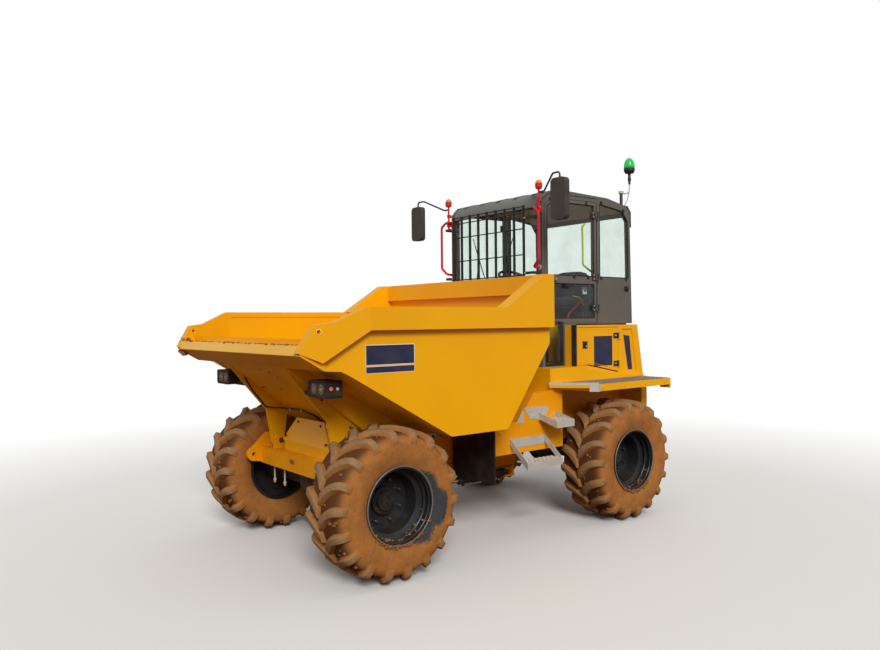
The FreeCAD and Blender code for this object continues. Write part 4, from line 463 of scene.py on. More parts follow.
def buildTyre(place, centre, side, bareAngle, bareReach):
    bm = bmesh.new()
    depth = bm.verts.layers.float.new("depth")
    bare = bm.verts.layers.float.new("bare")
    grooveShade = bm.verts.layers.float.new("grooveShade")
    profile = [(-x, r) for x, r in reversed(tyre["casing"][1:])] + tyre["casing"]
    rings = []
    for angle in turns(tyre["segments"]):
        ring = []
        for x, radius in profile:
            rough = noise.noise(tyrePoint((3 * side, centre[1], 0), side, x, radius, angle) * 9) * 0.004
            vert = bm.verts.new(tyrePoint(centre, side, x, radius + rough * (0.3 if radius < 0.33 else 1),
                                          angle))
            patch = noise.noise(vert.co * 5) * 0.5
            near = math.cos(angle - bareAngle) * bareReach - (radius - 0.30) * 5.5
            # Mask of the painted shade: 1 on the casing at the lugs' feet, 0 lower down the sidewall.
            vert[grooveShade] = max(0.0, min(1.0, (radius - 0.505) / 0.03))
            vert[bare] = max(0.0, min(1.0, near + patch)) if x > 0 and radius < 0.44 else 0.0
            ring.append(vert)
        rings.append(ring)
    closeRound(bm, rings, closed=False)
    lean = tyre["lean"] / tyre["radius"]
    for half in (1, -1):
        for lug in range(tyre["lugs"]):
            start = math.tau * (lug + (0.5 if half == side else 0)) / tyre["lugs"] + random.uniform(-0.01,
                                                                                                    0.01)
            sections = []
            for i, (foot, top) in enumerate(zip(tyre["foot"], tyre["top"])):
                t = i / (len(tyre["foot"]) - 1)
                angle = start - lean * (1 - (1 - min(1, top[0] / 0.235)) ** 2)
                slant = 1 - 0.45 * max(0.0, 1 - t * 1.4)
                widthTop = tyre["lugTop"] * (1 + 0.25 * t) / slant / 2
                widthFoot = tyre["lugFoot"] * (1 + 0.2 * t) / slant / 2
                jitter = random.uniform(-0.0015, 0.0015)
                section = []
                for (x, radius), width, level in ((foot, -widthFoot, 0.3), (top, -widthTop, 1.0),
                                                  (top, widthTop, 1.0), (foot, widthFoot, 0.3)):
                    vert = bm.verts.new(tyrePoint(centre, side, half * x, radius - abs(jitter), angle
                                                  + (width + jitter) / radius))
                    vert[depth] = level if i < len(tyre["foot"]) - 1 else level * 0.4
                    section.append(vert)
                sections.append(section)
            for first, second in zip(sections, sections[1:]):
                bridge(bm, first, second, closed=False)
            bm.faces.new(sections[0])
            bm.faces.new(sections[-1])
    meshPiece("lugged_tyre_" + place, bm, tyreClay, "wheel_" + place, bevel=0.004,
              smooth=True, replaces=["tyre_" + place])


axles = {"front": -1.367, "rear": 1.418, "height": 0.585, "track": 0.99}
wheels = {"front_left": (1, axles["front"], -0.15, 1.12),  # side, axle, angle bare of clay, its reach
          "front_right": (-1, axles["front"], 2.5, 1.0),
          "rear_left": (1, axles["rear"], 2.0, 0.3),
          "rear_right": (-1, axles["rear"], 0.4, 0.9)}
studs = {"count": 8, "circle": 0.165, "radius": 0.013, "face": -0.04, "length": 0.03, "thread": 0.012}
for place, (side, axleY, bareAngle, bareReach) in wheels.items():
    centre = (axles["track"] * side, axleY, axles["height"])
    buildTyre(place, centre, side, bareAngle, bareReach)
    bm = bmesh.new()
    for angle in turns(studs["count"], 0.5):
        foot, nut, tip = (tyrePoint(centre, side, x, studs["circle"], angle) for x in
                          (studs["face"], studs["face"] + studs["length"],
                           studs["face"] + studs["length"] + studs["thread"]))
        addRod(bm, foot, nut, studs["radius"], 6)
        addRod(bm, nut, tip, studs["radius"] * 0.6, 10)
    meshPiece("wheel_nuts_" + place, bm, steel, "wheel_" + place, bevel=0.001)
print("tyres and wheel nuts")


# Wheels: worn rim lips, rolled ridges, hub bolts, valve, and clay in the rim and between the lugs

rim = {"lip": [(0.2325, 0.289), (0.2345, 0.2925), (0.2345, 0.2975), (0.2325, 0.3005), (0.2285, 0.3005),
               (0.2285, 0.289)],  # X and radius round the section
       "sides": 96, "wear": 0.0006,
       "ridges": ((0.205, 0.2785, 0.010, 0.010), (0.150, 0.2785, 0.012, 0.016),
                  (0.085, 0.2785, 0.014, 0.022))}
hub = {"bolts": 10, "circle": 0.088, "face": 0.0035, "bolt": 0.008, "cap": ((0.0315, 0.037, 0.045, 32, 0.041),
                                                                            (0.037, 0.047, 0.014, 6, None)),
       "valveAngle": 2.2, "valve": ((0.15, 0.262, 0.195, 0.255, 0.005), (0.195, 0.255, 0.208, 0.2535,
                                                                         0.0065))}
for place, (side, axleY, *bared) in wheels.items():
    # From X, radius and angle.
    spot = partial(tyrePoint, (axles["track"] * side, axleY, axles["height"]), side)
    body = "wheel_" + place
    bm = bmesh.new()
    closeRound(bm, [[bm.verts.new(spot(x, radius + noise.noise(Vector((k, x * 40, side))) * rim["wear"],
                                       angle)) for x, radius in rim["lip"]]
                    for k, angle in enumerate(turns(rim["sides"]))])
    meshPiece("rim_lip_" + place, bm, wornEdge, body, smooth=True)
    bm = bmesh.new()
    for x, radius, wide, high in rim["ridges"]:  # they catch the light inside the rim
        section = [(x - wide, radius), (x - wide * 0.5, radius - high), (x + wide * 0.5, radius - high),
                   (x + wide, radius)]
        closeRound(bm, [[bm.verts.new(spot(a, r, angle)) for a, r in section]
                        for angle in turns(rim["sides"])], closed=False)
    meshPiece("rim_ridges_" + place, bm, rimBlack, body, smooth=True)
    bm = bmesh.new()
    for angle in turns(hub["bolts"]):
        addBolt(bm, spot(hub["face"], hub["circle"], angle), (side, 0, 0), hub["bolt"])
    for low, high, radius, sides, tip in hub["cap"]:
        addRod(bm, spot(low, 0, 0), spot(high, 0, 0), radius, sides, tip=tip)
    for x0, r0, x1, r1, radius in hub["valve"]:
        addRod(bm, spot(x0, r0, hub["valveAngle"]), spot(x1, r1, hub["valveAngle"]), radius, 10)
    meshPiece("hub_fittings_" + place, bm, chassisBlack, body, bevel=0.0008)
    bm = bmesh.new()
    for k in range(70):  # a crust along the lip, low on the wheel
        angle = -math.pi / 2 + random.gauss(0.15, 0.5)
        addLump(bm, spot(random.uniform(0.222, 0.236), random.uniform(0.288, 0.315), angle),
                random.uniform(0.005, 0.015), 0.8)
    for k in range(34):  # it lies in the bottom of the rim and sticks to its steps
        angle = -math.pi / 2 + random.gauss(0, 0.55)
        addLump(bm, spot(random.uniform(0.13, 0.215), random.uniform(0.262, 0.274), angle),
                random.uniform(0.004, 0.016))
    for k in range(150):  # crumbs between the lugs
        half = random.choice((-1, 1))
        x = random.uniform(0.03, 0.20) * half
        crumb = random.uniform(0.006, 0.017)
        addLump(bm, spot(x, 0.546 - abs(x) ** 3 * 1.4, random.uniform(0, math.tau)), crumb, 0.8)
    for k in range(40):  # splashes on the sidewall
        angle, radius = random.uniform(0, math.tau), random.uniform(0.36, 0.48)
        belly = 0.2425 - abs(radius - 0.425) * 0.09
        addLump(bm, spot(belly - 0.003, radius, angle), random.uniform(0.003, 0.0055), 0.8)
    meshPiece("clay_clumps_" + place, bm, clay, body, smooth=True)
print("rim lips, hubs and clay")


# Skip: blank side panels, lip band worn and painted paler as a highlight, with its row of dirt, folded
# flanges, welds, painted shade in the rim's open ends

skipSide = {"panel": (-1.675, -1.25, 1.647, 1.787), "underline": (-1.675, -1.25, 1.588, 1.632),
            "film": 0.0007, "outerX": 1.24}
bm = bmesh.new()
for key, border in (("panel", 0.005), ("underline", 0.003)):
    y0, y1, z0, z1 = skipSide[key]
    addPair(bm, (skipSide["outerX"], y0 - border, z0 - border),
            (skipSide["outerX"] + skipSide["film"], y1 + border, z1 + border), tag=1)
    addPair(bm, (skipSide["outerX"] + skipSide["film"] * 0.6, y0, z0),
            (skipSide["outerX"] + skipSide["film"] * 2, y1, z1))
meshPiece("skip_blank_panels", bm, [navy, whiteFilm], "skip")

# The lip's front band: a thin plate, worn, and painted paler as a highlight.
lip = {"low": (-2.180, 1.724), "high": (-2.166, 1.801), "half": 1.176, "wear": 0.0015}
bm = bmesh.new()
(y0, z0), (y1, z1) = lip["low"], lip["high"]
addPanel(bm, [(-lip["half"], y0, z0 + 0.003), (lip["half"], y0, z0 + 0.003), (lip["half"], y1, z1 - 0.003),
              (-lip["half"], y1, z1 - 0.003)], (0, -lip["wear"], 0.0003))
meshPiece("lip_band_worn_and_painted_highlight", bm, scuffedAndHighlit, "skip", bevel=0.0006)

bm = bmesh.new()
for k in range(190):
    x = random.uniform(-1.16, 1.16)
    addLump(bm, (x, y1 + random.uniform(-0.004, 0.03), z1 + 0.0005), abs(random.gauss(0, 0.0045)) + 0.0018,
            0.6)
for k in range(14):
    addLump(bm, (-1.17 + random.gauss(0, 0.022), -2.125 + random.gauss(0, 0.02), 1.80 + random.uniform(-0.02,
                                                                                                       0.02)),
            random.uniform(0.010, 0.024), 0.8)
for k in range(16):
    addLump(bm, (-1.165 + random.gauss(0, 0.03), -2.135 + random.gauss(0, 0.008),
                 1.715 + random.gauss(0, 0.018)), random.uniform(0.014, 0.030), 0.85)
for k in range(260):  # what the load left on the floor and slopes
    x, y = random.uniform(-1.1, 1.1), random.uniform(-2.0, -0.2)
    floorZ = 1.068 if y > -0.885 else 1.068 + (-0.885 - y) * 0.566
    if abs(x) < 0.60 and y < -0.885:
        floorZ = 1.068 if y > -1.28 else 1.068 + (-1.28 - y) * 0.787
    if y > -0.30:
        floorZ = 1.068 + (y + 0.30) * 1.38
    addLump(bm, (x, y, floorZ), abs(random.gauss(0, 0.009)) + 0.003, 0.5)
meshPiece("clay_residue_on_skip", bm, clay, "skip", smooth=True)

flange = {"y": (-1.655, -0.35), "z": (2.016, 2.063), "x": 1.2297, "thick": 0.006}
bm = bmesh.new()
addPair(bm, (flange["x"] - flange["thick"], flange["y"][0], flange["z"][0]),
        (flange["x"] + 0.0002, flange["y"][1], flange["z"][1]))
for side in (1, -1):
    for start, end, bead in (((1.2415, -1.665, 1.8955), (1.2415, 0.214, 1.8955), 0.004),
                             ((1.2385, -1.86, 1.6062), (1.2385, -0.89, 1.0575), 0.0035),
                             ((0.6205, -1.85, 1.600), (0.6205, -0.89, 1.0575), 0.004),
                             ((0.566, -1.94, 1.573), (0.566, -1.30, 1.070), 0.004),
                             ((0.534, -1.94, 1.573), (0.534, -1.30, 1.070), 0.004),
                             ((1.2295, -1.60, 1.462), (1.2295, -0.90, 1.078), 0.0035),
                             ((1.172, -0.345, 2.064), (1.172, 0.11, 2.349), 0.003)):
        addWeld(bm, onSide(side, start), onSide(side, end), bead)
meshPiece("skip_flanges_and_welds", bm, yellow, "skip", bevel=0.0012)

hole = {"y": -2.05, "z": 1.89, "inner": 0.0145, "outer": 0.022, "sides": 28}


def rimOuter(y):  # the rim's outer face leans in from its front end
    return 1.300 - 0.095 * (-1.667 - y) / 0.528


bm = bmesh.new()
for side in (1, -1):
    for k in range(hole["sides"]):
        a, b = math.tau * k / hole["sides"], math.tau * (k + 1) / hole["sides"]
        corners = [(hole["y"] + r * math.cos(t), hole["z"] + r * math.sin(t)) for r, t in
                   ((hole["inner"], a), (hole["inner"], b), (hole["outer"], b), (hole["outer"], a))]
        addPanel(bm, [(side * rimOuter(y), y, z) for y, z in corners], (side * 0.002, 0, 0))
meshPiece("tie_hole_rings", bm, scuffedAndHighlit, "skip")

# Dark panels on the rim's open ends paint the shade inside the folded channel's opening.
pocket = {"inset": 0.007, "wide": 0.054, "ends": ((-2.183, 1.7401), (-2.034, 1.6788))}
bm = bmesh.new()
for side in (1, -1):
    corners = []
    for y, z in pocket["ends"]:
        outer = rimOuter(y) - pocket["inset"]
        corners.append([(side * outer, y, z), (side * (outer - pocket["wide"]), y, z)])
    addPanel(bm, [corners[0][0], corners[1][0], corners[1][1], corners[0][1]], (0, -0.0004, -0.001))
meshPiece("rim_end_painted_shade", bm, paintedShadeInFold, "skip")

loom = {"radius": 0.007, "clips": ((-0.36, -1.462, 1.176), (-0.13, -1.470, 1.183))}
bm = bmesh.new()
for route in ([(-0.80, -1.742, 1.440), (-0.80, -1.715, 1.440), (-0.64, -1.70, 1.384),
               (-0.572, -1.665, 1.342)], [(0.80, -1.742, 1.440), (0.80, -1.715, 1.440), (0.64, -1.70, 1.384),
                                          (0.572, -1.665, 1.342)], [(-0.524, -1.822, 1.474),
                                                                    (-0.524, -1.754, 1.359),
                                                                    (-0.524, -1.697, 1.292),
                                                                    (-0.524, -1.625, 1.20),
                                                                    (-0.42, -1.46, 1.182),
                                                                    (-0.108, -1.47, 1.19), (0.0, -1.42, 1.15),
                                                                    (0.03, -1.31, 1.062)]):
    addTube(bm, route, loom["radius"], 0.03, 10)
for x, y, z in loom["clips"]:
    addBox(bm, (x - 0.006, y - 0.012, z - 0.009), (x + 0.006, y + 0.012, z + 0.014), tag=1)
meshPiece("lamp_loom_clipped", bm, [hose, zinc], "skip", bevel=0.001, smooth=True)

lamp = {"x": (0.75, 1.02), "face": -1.872, "height": 1.465, "z": (1.4185, 1.5115), "border": 0.022,
        "bowls": (0.832, 0.938), "bowl": 0.040, "flank": (1.0195, 1.025)}
bm = bmesh.new()
for side in (1, -1):
    for x in lamp["bowls"]:
        back, middle, front = ((side * x, lamp["face"] - proud, lamp["height"])
                               for proud in (0.0005, 0.004, 0.0065))
        addRod(bm, back, middle, lamp["bowl"], 36, tip=lamp["bowl"] * 0.98)
        addRod(bm, middle, front, 0.012, 16, tag=1)
    addSideBox(bm, side, (lamp["x"][0] + lamp["border"], lamp["face"] - 0.0075, lamp["z"][0]),
               (lamp["x"][1] - lamp["border"], lamp["face"] - 0.0055, lamp["z"][1]), tag=2)
    addStud(bm, side, lamp["flank"], -1.837, 1.473, 0.016, 24, 3, 0.014)
    addStud(bm, side, lamp["flank"], -1.783, 1.470, 0.013, 24, 4, 0.011)
    addBolt(bm, (side * 0.66, -1.795, 1.43), (0, 0, 1), 0.008, 5)
meshPiece("headlamp_optics", bm, [chrome, clearLens, glass, amberLens, clearLens, zinc], "skip",
          bevel=0.0008)

pins = {"y": -1.5, "z": 0.89, "end": 0.5873, "plate": 0.006, "nipple": 0.018, "radius": 0.038,
        "circle": 0.026}
bm = bmesh.new()
for side in (1, -1):
    face = pins["end"] + pins["plate"]
    addStud(bm, side, (pins["end"], face), pins["y"], pins["z"], pins["radius"], 28)
    for turn in (0.4, 2.5, 4.6):
        addBolt(bm, (side * face, pins["y"] + pins["circle"] * math.cos(turn),
                     pins["z"] + pins["circle"] * math.sin(turn)), (side, 0, 0), 0.006)
    addStud(bm, side, (face, pins["end"] + pins["nipple"]), pins["y"], pins["z"], 0.004, 8, tip=0.003)
meshPiece("tip_pin_keepers", bm, zinc, "skip", bevel=0.0006)
print("skip trim, lamps and loom")


# Front half: bolts of the blank sign plate and the axle, welds, brake pipe studs, hoses clamped to the spine

def addHousingBolts(bm, x, axleY):  # round the flange of an axle's middle housing
    for angle in turns(12, 0.5):
        addBolt(bm, (x, axleY + 0.147 * math.cos(angle), axles["height"] + 0.147 * math.sin(angle)),
                (x, 0, 0), 0.008)


frontBolt = {"sign": ((0.36, -1.5105, 0.948), (0.20, -1.4665, 1.082)), "signLean": (0, -1, 0.245),
             "axle": ((0.630, -1.41, 0.6715), (0.630, -1.325, 0.6715)),
             "nose": ((0.7, -1.56, 0.745), (0.7, -1.50, 0.745)), "housing": 0.0602}
bm = bmesh.new()
for side in (1, -1):
    for key, axis, size in (("sign", frontBolt["signLean"], 0.010), ("axle", (0, 0, -1), 0.014),
                            ("nose", (side, 0, 0), 0.012)):
        for spot in frontBolt[key]:
            addBolt(bm, onSide(side, spot), axis, size)
addHousingBolts(bm, frontBolt["housing"], axles["front"])
meshPiece("front_bolts", bm, chassisBlack, "front", bevel=0.0008)

bm = bmesh.new()
for side in (1, -1):
    for start, end in (((0.6655, -1.6015, 0.675), (0.6655, -1.6015, 0.815)),
                       ((0.663, -1.448, 0.823), (0.663, -0.885, 0.836)), ((0.4695, -1.562, 0.822),
                                                                          (0.4695, -1.452, 0.822)),
                       ((0.7005, -0.868, 0.8375), (0.7005, -0.764, 0.8375))):
        addWeld(bm, onSide(side, start), onSide(side, end), 0.0045)
    addWeld(bm, (side * 0.096, -0.758, 0.568), (side * 0.096, -0.758, 0.832), 0.005)
for side in (1, -1):
    addPrism(bm, 0, [(-1.722, 0.792), (-1.554, 0.944), (-1.500, 0.944), (-1.500, 0.826), (-1.600, 0.800)],
             *sorted((side * 0.692, side * 0.706)))
meshPiece("front_frame_welds", bm, frameYellowShadedAndSplashed, "front")

beamStud = {"xs": (-0.508, -0.309, 0.309, 0.508), "y": -1.55,  # they hold the brake pipes under the beam
            "parts": ((0.675, 0.53, 0.008, 12, 0, None), (0.545, 0.53, 0.015, 6, 0, None),
                      (0.53, 0.508, 0.012, 12, 1, 0.009))}
bm = bmesh.new()
for x in beamStud["xs"]:
    for high, low, radius, sides, tag, tip in beamStud["parts"]:
        addRod(bm, (x, beamStud["y"], high), (x, beamStud["y"], low), radius, sides, tag, tip)
meshPiece("beam_studs", bm, [zinc, yellow], "front", bevel=0.0006)

plug = {"at": (-0.072, -1.6006, 0.759), "wide": 0.045, "high": 0.022}
bm = bmesh.new()
x, y, z = plug["at"]
addPanel(bm, [(x + plug["wide"] * math.cos(a), y, z + plug["high"] * math.sin(a)) for a in turns(24)],
         (0, -0.0012, 0))
meshPiece("drain_plug_rusted", bm, clay, "front", bevel=0.0004)

spineHose = {"xs": (-0.036, 0.0, 0.036), "z": 0.846, "route": (-0.750, -0.30, -0.12), "radius": 0.009,
             "unions": ((-0.757, -0.730), (-0.14, -0.10)), "union": 0.014}
bm = bmesh.new()
for x in spineHose["xs"]:
    first, last = (((x, y0, spineHose["z"]), (x, y1, spineHose["z"])) for y0, y1 in spineHose["unions"])
    addRod(bm, *first, spineHose["union"], 6, tag=1)
    addTube(bm, [(x, y, spineHose["z"]) for y in spineHose["route"]], spineHose["radius"], 0.03, 10)
    addRod(bm, *last, spineHose["union"], 6, tag=1)
for y in (-0.68, -0.30, -0.18):
    addBox(bm, (-0.052, y - 0.012, 0.834), (0.052, y + 0.012, 0.860), tag=1)
meshPiece("spine_hoses_clamped", bm, [hose, zinc], "front", bevel=0.001)
print("front half's fittings")


# Rear half outside: steps, deck edges, tanks, flaps and counterweight

grip = {"tooth": 0.0045, "pitch": 0.026}
bm = bmesh.new()
for x0, x1, y0, y1, top in ((0.868, 1.090, 0.468, 0.680, 1.038), (0.960, 1.082, 0.099, 0.525, 0.700)):
    columns, rows = int((x1 - x0) / grip["pitch"]), int((y1 - y0) / grip["pitch"])
    for side in (1, -1):
        for i in range(columns + 1):
            for j in range(rows + 1):
                x = x0 + (x1 - x0) * i / columns
                y = y0 + (y1 - y0) * j / rows
                big = (i + j) % 2 == 0
                addRod(bm, (side * x, y, top - 0.0004),
                       (side * x, y, top + grip["tooth"] * (1 if big else 0.6)), 0.0095 if big else 0.005, 8,
                       tip=0.0065 if big else 0.003)
meshPiece("step_grip", bm, zinc, "rear")

bm = bmesh.new()
for side in (1, -1):
    for y, z in ((0.463, 1.062), (0.683, 1.062), (0.094, 0.866), (0.094, 0.81), (0.528, 0.866),
                 (0.528, 0.81)):
        addBolt(bm, (side * 0.8602, y + (0.02 if y < 0.6 else -0.02), z), (side, 0, 0), 0.009)
    for y, z in ((0.345, 1.12), (0.50, 1.12), (0.40, 1.07)):
        addBolt(bm, (side * 0.866, y, z), (side, 0, 0), 0.008)
addPair(bm, (0.8604, 0.096, 0.802), (0.8660, 0.536, 0.886))
for side in (1, -1):
    for outline in ([(0.268, 1.152), (0.600, 1.137), (0.524, 1.026), (0.338, 1.052)],
                    [(0.170, 1.018), (0.258, 1.152), (0.262, 1.100), (0.262, 1.018)]):
        addPrism(bm, 0, outline, *sorted((side * 0.8604, side * 0.8650)))
meshPiece("step_bolts", bm, zinc, "rear", bevel=0.0006)

edge = {"width": 0.034, "thick": 0.005, "tooth": 0.010, "count": 30,
        "inner": (0.864, 0.604), "outer": (1.216, 0.902),
        "strips": ((0.604, 0.902, 0.9275, 0.728, 1.3505, 1.3555, 0),  # the first is a thin tread plate
                   (0.604, 0.902, 0.907, 0.609, 1.318, 1.3505, 1),
                   (0.601, 0.899, 0.902, 0.604, 1.344, 1.365, 0))}
bm = bmesh.new()
for side in (1, -1):
    inner, outer = (Vector((side * x, y, 1.3552)) for x, y in (edge["inner"], edge["outer"]))
    for innerFront, outerFront, outerBack, innerBack, low, high, tag in edge["strips"]:
        addPrism(bm, 2, [(side * edge["inner"][0], innerFront), (side * edge["outer"][0], outerFront),
                         (side * edge["outer"][0], outerBack), (side * edge["inner"][0], innerBack)], low,
                 high, tag)
    along = (outer - inner).normalized()
    back = Vector((-along.y, along.x, 0)) * side
    addPanel(bm, [inner, outer, outer + back * edge["width"], inner + back * edge["width"]],
             (0, 0, edge["thick"]))
    for k in range(edge["count"]):
        foot = inner.lerp(outer, (k + 0.5) / edge["count"]) + Vector((0, -0.002, 0.0095))
        addPanel(bm, [foot - along * 0.005, foot + along * 0.005,
                      foot + along * 0.002 + Vector((0, 0, edge["tooth"])),
                      foot - along * 0.002 + Vector((0, 0, edge["tooth"]))], back * 0.003)
meshPiece("deck_front_serrated_edge", bm, [zinc, yellow], "rear")

bm = bmesh.new()
addPair(bm, (1.2165, 0.896, 1.286), (1.2225, 0.918, 1.3575))
for side in (1, -1):
    addPanel(bm, [(side * 1.150, 0.846, 1.286), (side * 1.2165, 0.9025, 1.286),
                  (side * 1.2165, 0.9025, 1.3575), (side * 1.150, 0.846, 1.3575)], (0.004 * side, -0.006, 0))
meshPiece("deck_corner_brackets", bm, zinc, "rear", bevel=0.0006)

bm = bmesh.new()
deckTop = {"z": 1.3553, "thick": 0.004}
for side in (1, -1):
    outline = [(0.864, 0.772), (1.206, 0.966), (1.206, 2.006), (0.83, 2.006), (0.83, 1.40), (0.864, 1.40)]
    addPrism(bm, 2, [(side * x, y) for x, y in outline], deckTop["z"], deckTop["z"] + deckTop["thick"])
    for j in range(29):
        y = 0.99 + j * 0.0352
        for i in range(8):
            x = 0.885 + i * 0.042 + (0.021 if j % 2 else 0)
            if x < 1.195:
                turn = Matrix.Rotation(math.radians(45 if j % 2 else -45), 3, "Z")
                addBox(bm, (side * x - 0.012, y - 0.0032, deckTop["z"] + 0.003),
                       (side * x + 0.012, y + 0.0032, deckTop["z"] + 0.0065), turn)
meshPiece("deck_grip_plates", bm, gripDeck, "rear")

bm = bmesh.new()
for side in (1, -1):
    for y in (0.96, 1.28, 1.60, 1.92):
        addBolt(bm, (side * 1.2202, y, 1.322), (side, 0, 0), 0.008)
    for y, z in ((-0.03, 0.95), (-0.03, 0.80), (0.74, 1.24), (0.74, 0.80)):
        addBolt(bm, (side * 0.8602, y, z), (side, 0, 0), 0.009)
    addWeld(bm, (side * 0.861, 0.20, 1.036), (side * 0.861, 0.405, 1.286), 0.003)
    addWeld(bm, (side * 0.861, 0.412, 1.2905), (side * 0.861, 0.62, 1.2905), 0.003)
meshPiece("tank_bolts_and_seams", bm, yellow, "rear", bevel=0.0006)

cap = {"at": (0.70, 0.30, 1.16), "radius": 0.055}
bm = bmesh.new()
slope = Vector((0, -0.772, 0.636)).normalized()
start = Vector(cap["at"])
addRod(bm, start - slope * 0.02, start + slope * 0.012, cap["radius"] * 0.8, 28)
addRod(bm, start + slope * 0.012, start + slope * 0.034, cap["radius"], 28, tip=cap["radius"] * 0.92)
side = slope.orthogonal().normalized()
for a in turns(9):
    spot = start + slope * 0.023 + (side * math.cos(a) + slope.cross(side) * math.sin(a)) * cap["radius"]
    addRod(bm, spot - slope * 0.009, spot + slope * 0.009, 0.006, 8)
meshPiece("fuel_cap", bm, blackPlastic, "rear", bevel=0.0015)

bm = bmesh.new()
addPair(bm, (0.30, -0.0845, 0.975), (0.845, -0.0815, 1.010))
for side in (1, -1):
    for k in range(5):
        addBolt(bm, (side * (0.34 + k * 0.12), -0.1, 0.99), (0, -1, 0), 0.008)
meshPiece("flap_clamps", bm, zinc, "rear", bevel=0.0006)

rearLamp = {"lenses": ((0.77, 1), (0.66, 2), (0.55, 3)), "z": 1.26, "depths": (2.1118, 2.122, 2.134)}
bm = bmesh.new()
for side in (1, -1):
    for x, tag in rearLamp["lenses"]:
        back, middle, front = ((side * x, y, rearLamp["z"]) for y in rearLamp["depths"])
        addRod(bm, back, middle, 0.047, 32)
        addRod(bm, middle, front, 0.042, 32, tag, tip=0.037)
    addSideBox(bm, side, (0.49, 2.1115, 1.205), (0.83, 2.116, 1.315))
    addBolt(bm, (side * 0.70, 2.1121, 0.80), (0, 1, 0), 0.016)
    addBolt(bm, (side * 0.70, 2.1121, 1.05), (0, 1, 0), 0.016)
meshPiece("rear_lamps", bm, [blackPlastic, redLens, amberLens, clearLens], "rear",
          bevel=0.001)

print("steps, decks, tanks and rear end")


# Engine cover: door fields, blank panels, latches, hinge sleeves, edge trim, rear louvres, mats

door = {"x": 0.8202, "film": 0.0009, "panel": (1.306, 1.592, 1.490, 1.792), "latch": (1.135, 1.205, 1.672,
                                                                                      1.745),
        "hinge": (0.828, 1.68), "knuckles": ((1.4765, 1.5335), (1.7665, 1.8235)), "field": [(1.075, 1.534),
                                                                                            (1.075, 1.862),
                                                                                            (1.668, 1.862),
                                                                                            (1.668, 1.452),
                                                                                            (1.206, 1.534)]}
strip = {"x": 0.8082, "outline": [(1.862, 1.432), (1.789, 1.800), (1.892, 1.786), (1.934, 1.432)]}
for word, side in (("left", 1), ("right", -1)):
    body = "access_door_" + word
    y0, y1, z0, z1 = door["panel"]
    bm = bmesh.new()
    addSideBox(bm, side, (door["x"], y0, z0), (door["x"] + door["film"], y1, z1))
    meshPiece("access_blank_panel_" + word, bm, navy, body)
    y0, y1, z0, z1 = door["latch"]
    bm = bmesh.new()
    addSideBox(bm, side, (door["x"], y0, z0), (door["x"] + 0.004, y1, z1))
    addSideBox(bm, side, (door["x"], y0 + 0.012, z0 + 0.014), (door["x"] + 0.008, y1 - 0.012, z1 - 0.014),
               tag=1)
    addStud(bm, side, (door["x"] + 0.007, door["x"] + 0.0105), y1 - 0.022, z0 + 0.024, 0.008, 18, 2)
    x, y = side * door["hinge"][0], door["hinge"][1]
    for low, high in door["knuckles"]:
        addRod(bm, (x, y, low), (x, y, high), 0.0105, 20)
        addSideBox(bm, side, (0.8205, 1.612, low), (0.8262, 1.674, high))
        for boltY in (1.63, 1.652):
            addBolt(bm, (side * 0.8262, boltY, (low + high) / 2), (side, 0, 0), 0.006, 2)
    meshPiece("access_latch_and_hinges_" + word, bm, [blackPlastic, blackTrim, zinc], body,
              bevel=0.0012)
    bm = bmesh.new()
    addBead(bm, side * 0.8203, door["field"], 0.0022)
    meshPiece("access_pressed_line_" + word, bm, yellow, body)

bm = bmesh.new()
for side in (1, -1):
    addPanel(bm, [(side * strip["x"], y, z) for y, z in strip["outline"]], (side * 0.0009, 0, 0))
meshPiece("cover_rear_strips", bm, navy, "rear")

trim = {"x": (0.778, 0.8235), "y": 1.0262, "z": (1.502, 1.9085)}
bm = bmesh.new()
addPair(bm, (trim["x"][0], trim["y"], trim["z"][0]), (trim["x"][1], 1.0298, trim["z"][1]))
addPair(bm, (0.8203, trim["y"], trim["z"][0]), (trim["x"][1], 1.046, trim["z"][1]))
addPair(bm, (0.7755, 1.0225, trim["z"][0]), (0.7815, 1.0295, trim["z"][1]), tag=1)
meshPiece("cover_front_trim", bm, [blackPlastic, blackTrim], "rear", bevel=0.0015)

louvre = {"half": 0.50, "low": (2.0995, 1.42), "high": (2.025, 1.842), "blades": 12}
bm = bmesh.new()
lowY, lowZ = louvre["low"]
highY, highZ = louvre["high"]
out = Vector((0, 0.985, 0.172))
for k in range(louvre["blades"]):
    t = (k + 0.5) / louvre["blades"]
    y, z = lowY + (highY - lowY) * t, lowZ + (highZ - lowZ) * t
    addPanel(bm, [(-louvre["half"], y, z - 0.012), (louvre["half"], y, z - 0.012), (louvre["half"], y + 0.011,
                                                                                    z - 0.004),
                  (-louvre["half"], y + 0.011, z - 0.004)], (0, 0.001, 0.006), tag=1)
for x0, x1 in ((-louvre["half"] - 0.018, -louvre["half"]), (louvre["half"], louvre["half"] + 0.018)):
    addPanel(bm, [(x0, lowY, lowZ - 0.02), (x1, lowY, lowZ - 0.02), (x1, highY, highZ + 0.02),
                  (x0, highY, highZ + 0.02)], out * 0.013)
for y, z in (louvre["low"], louvre["high"]):
    addPanel(bm, [(-louvre["half"], y + 0.0032, z - 0.020), (louvre["half"], y + 0.0032, z - 0.020),
                  (louvre["half"], y, z - 0.002), (-louvre["half"], y, z - 0.002)], out * 0.012)
meshPiece("rear_louvres", bm, [yellow, blackPlastic], "rear", bevel=0.0008)

seal = {"z": (1.9052, 1.9168), "x": (0.650, 0.682), "y": (1.035, 2.004)}  # rubber mount between cover and cab
bm = bmesh.new()
addPair(bm, (seal["x"][0], seal["y"][0], seal["z"][0]), (seal["x"][1], seal["y"][1], seal["z"][1]))
addBox(bm, (-seal["x"][1], seal["y"][1] - 0.03, seal["z"][0]), (seal["x"][1], seal["y"][1], seal["z"][1]))
meshPiece("cab_mount_seal", bm, blackTrim, "rear", bevel=0.001)

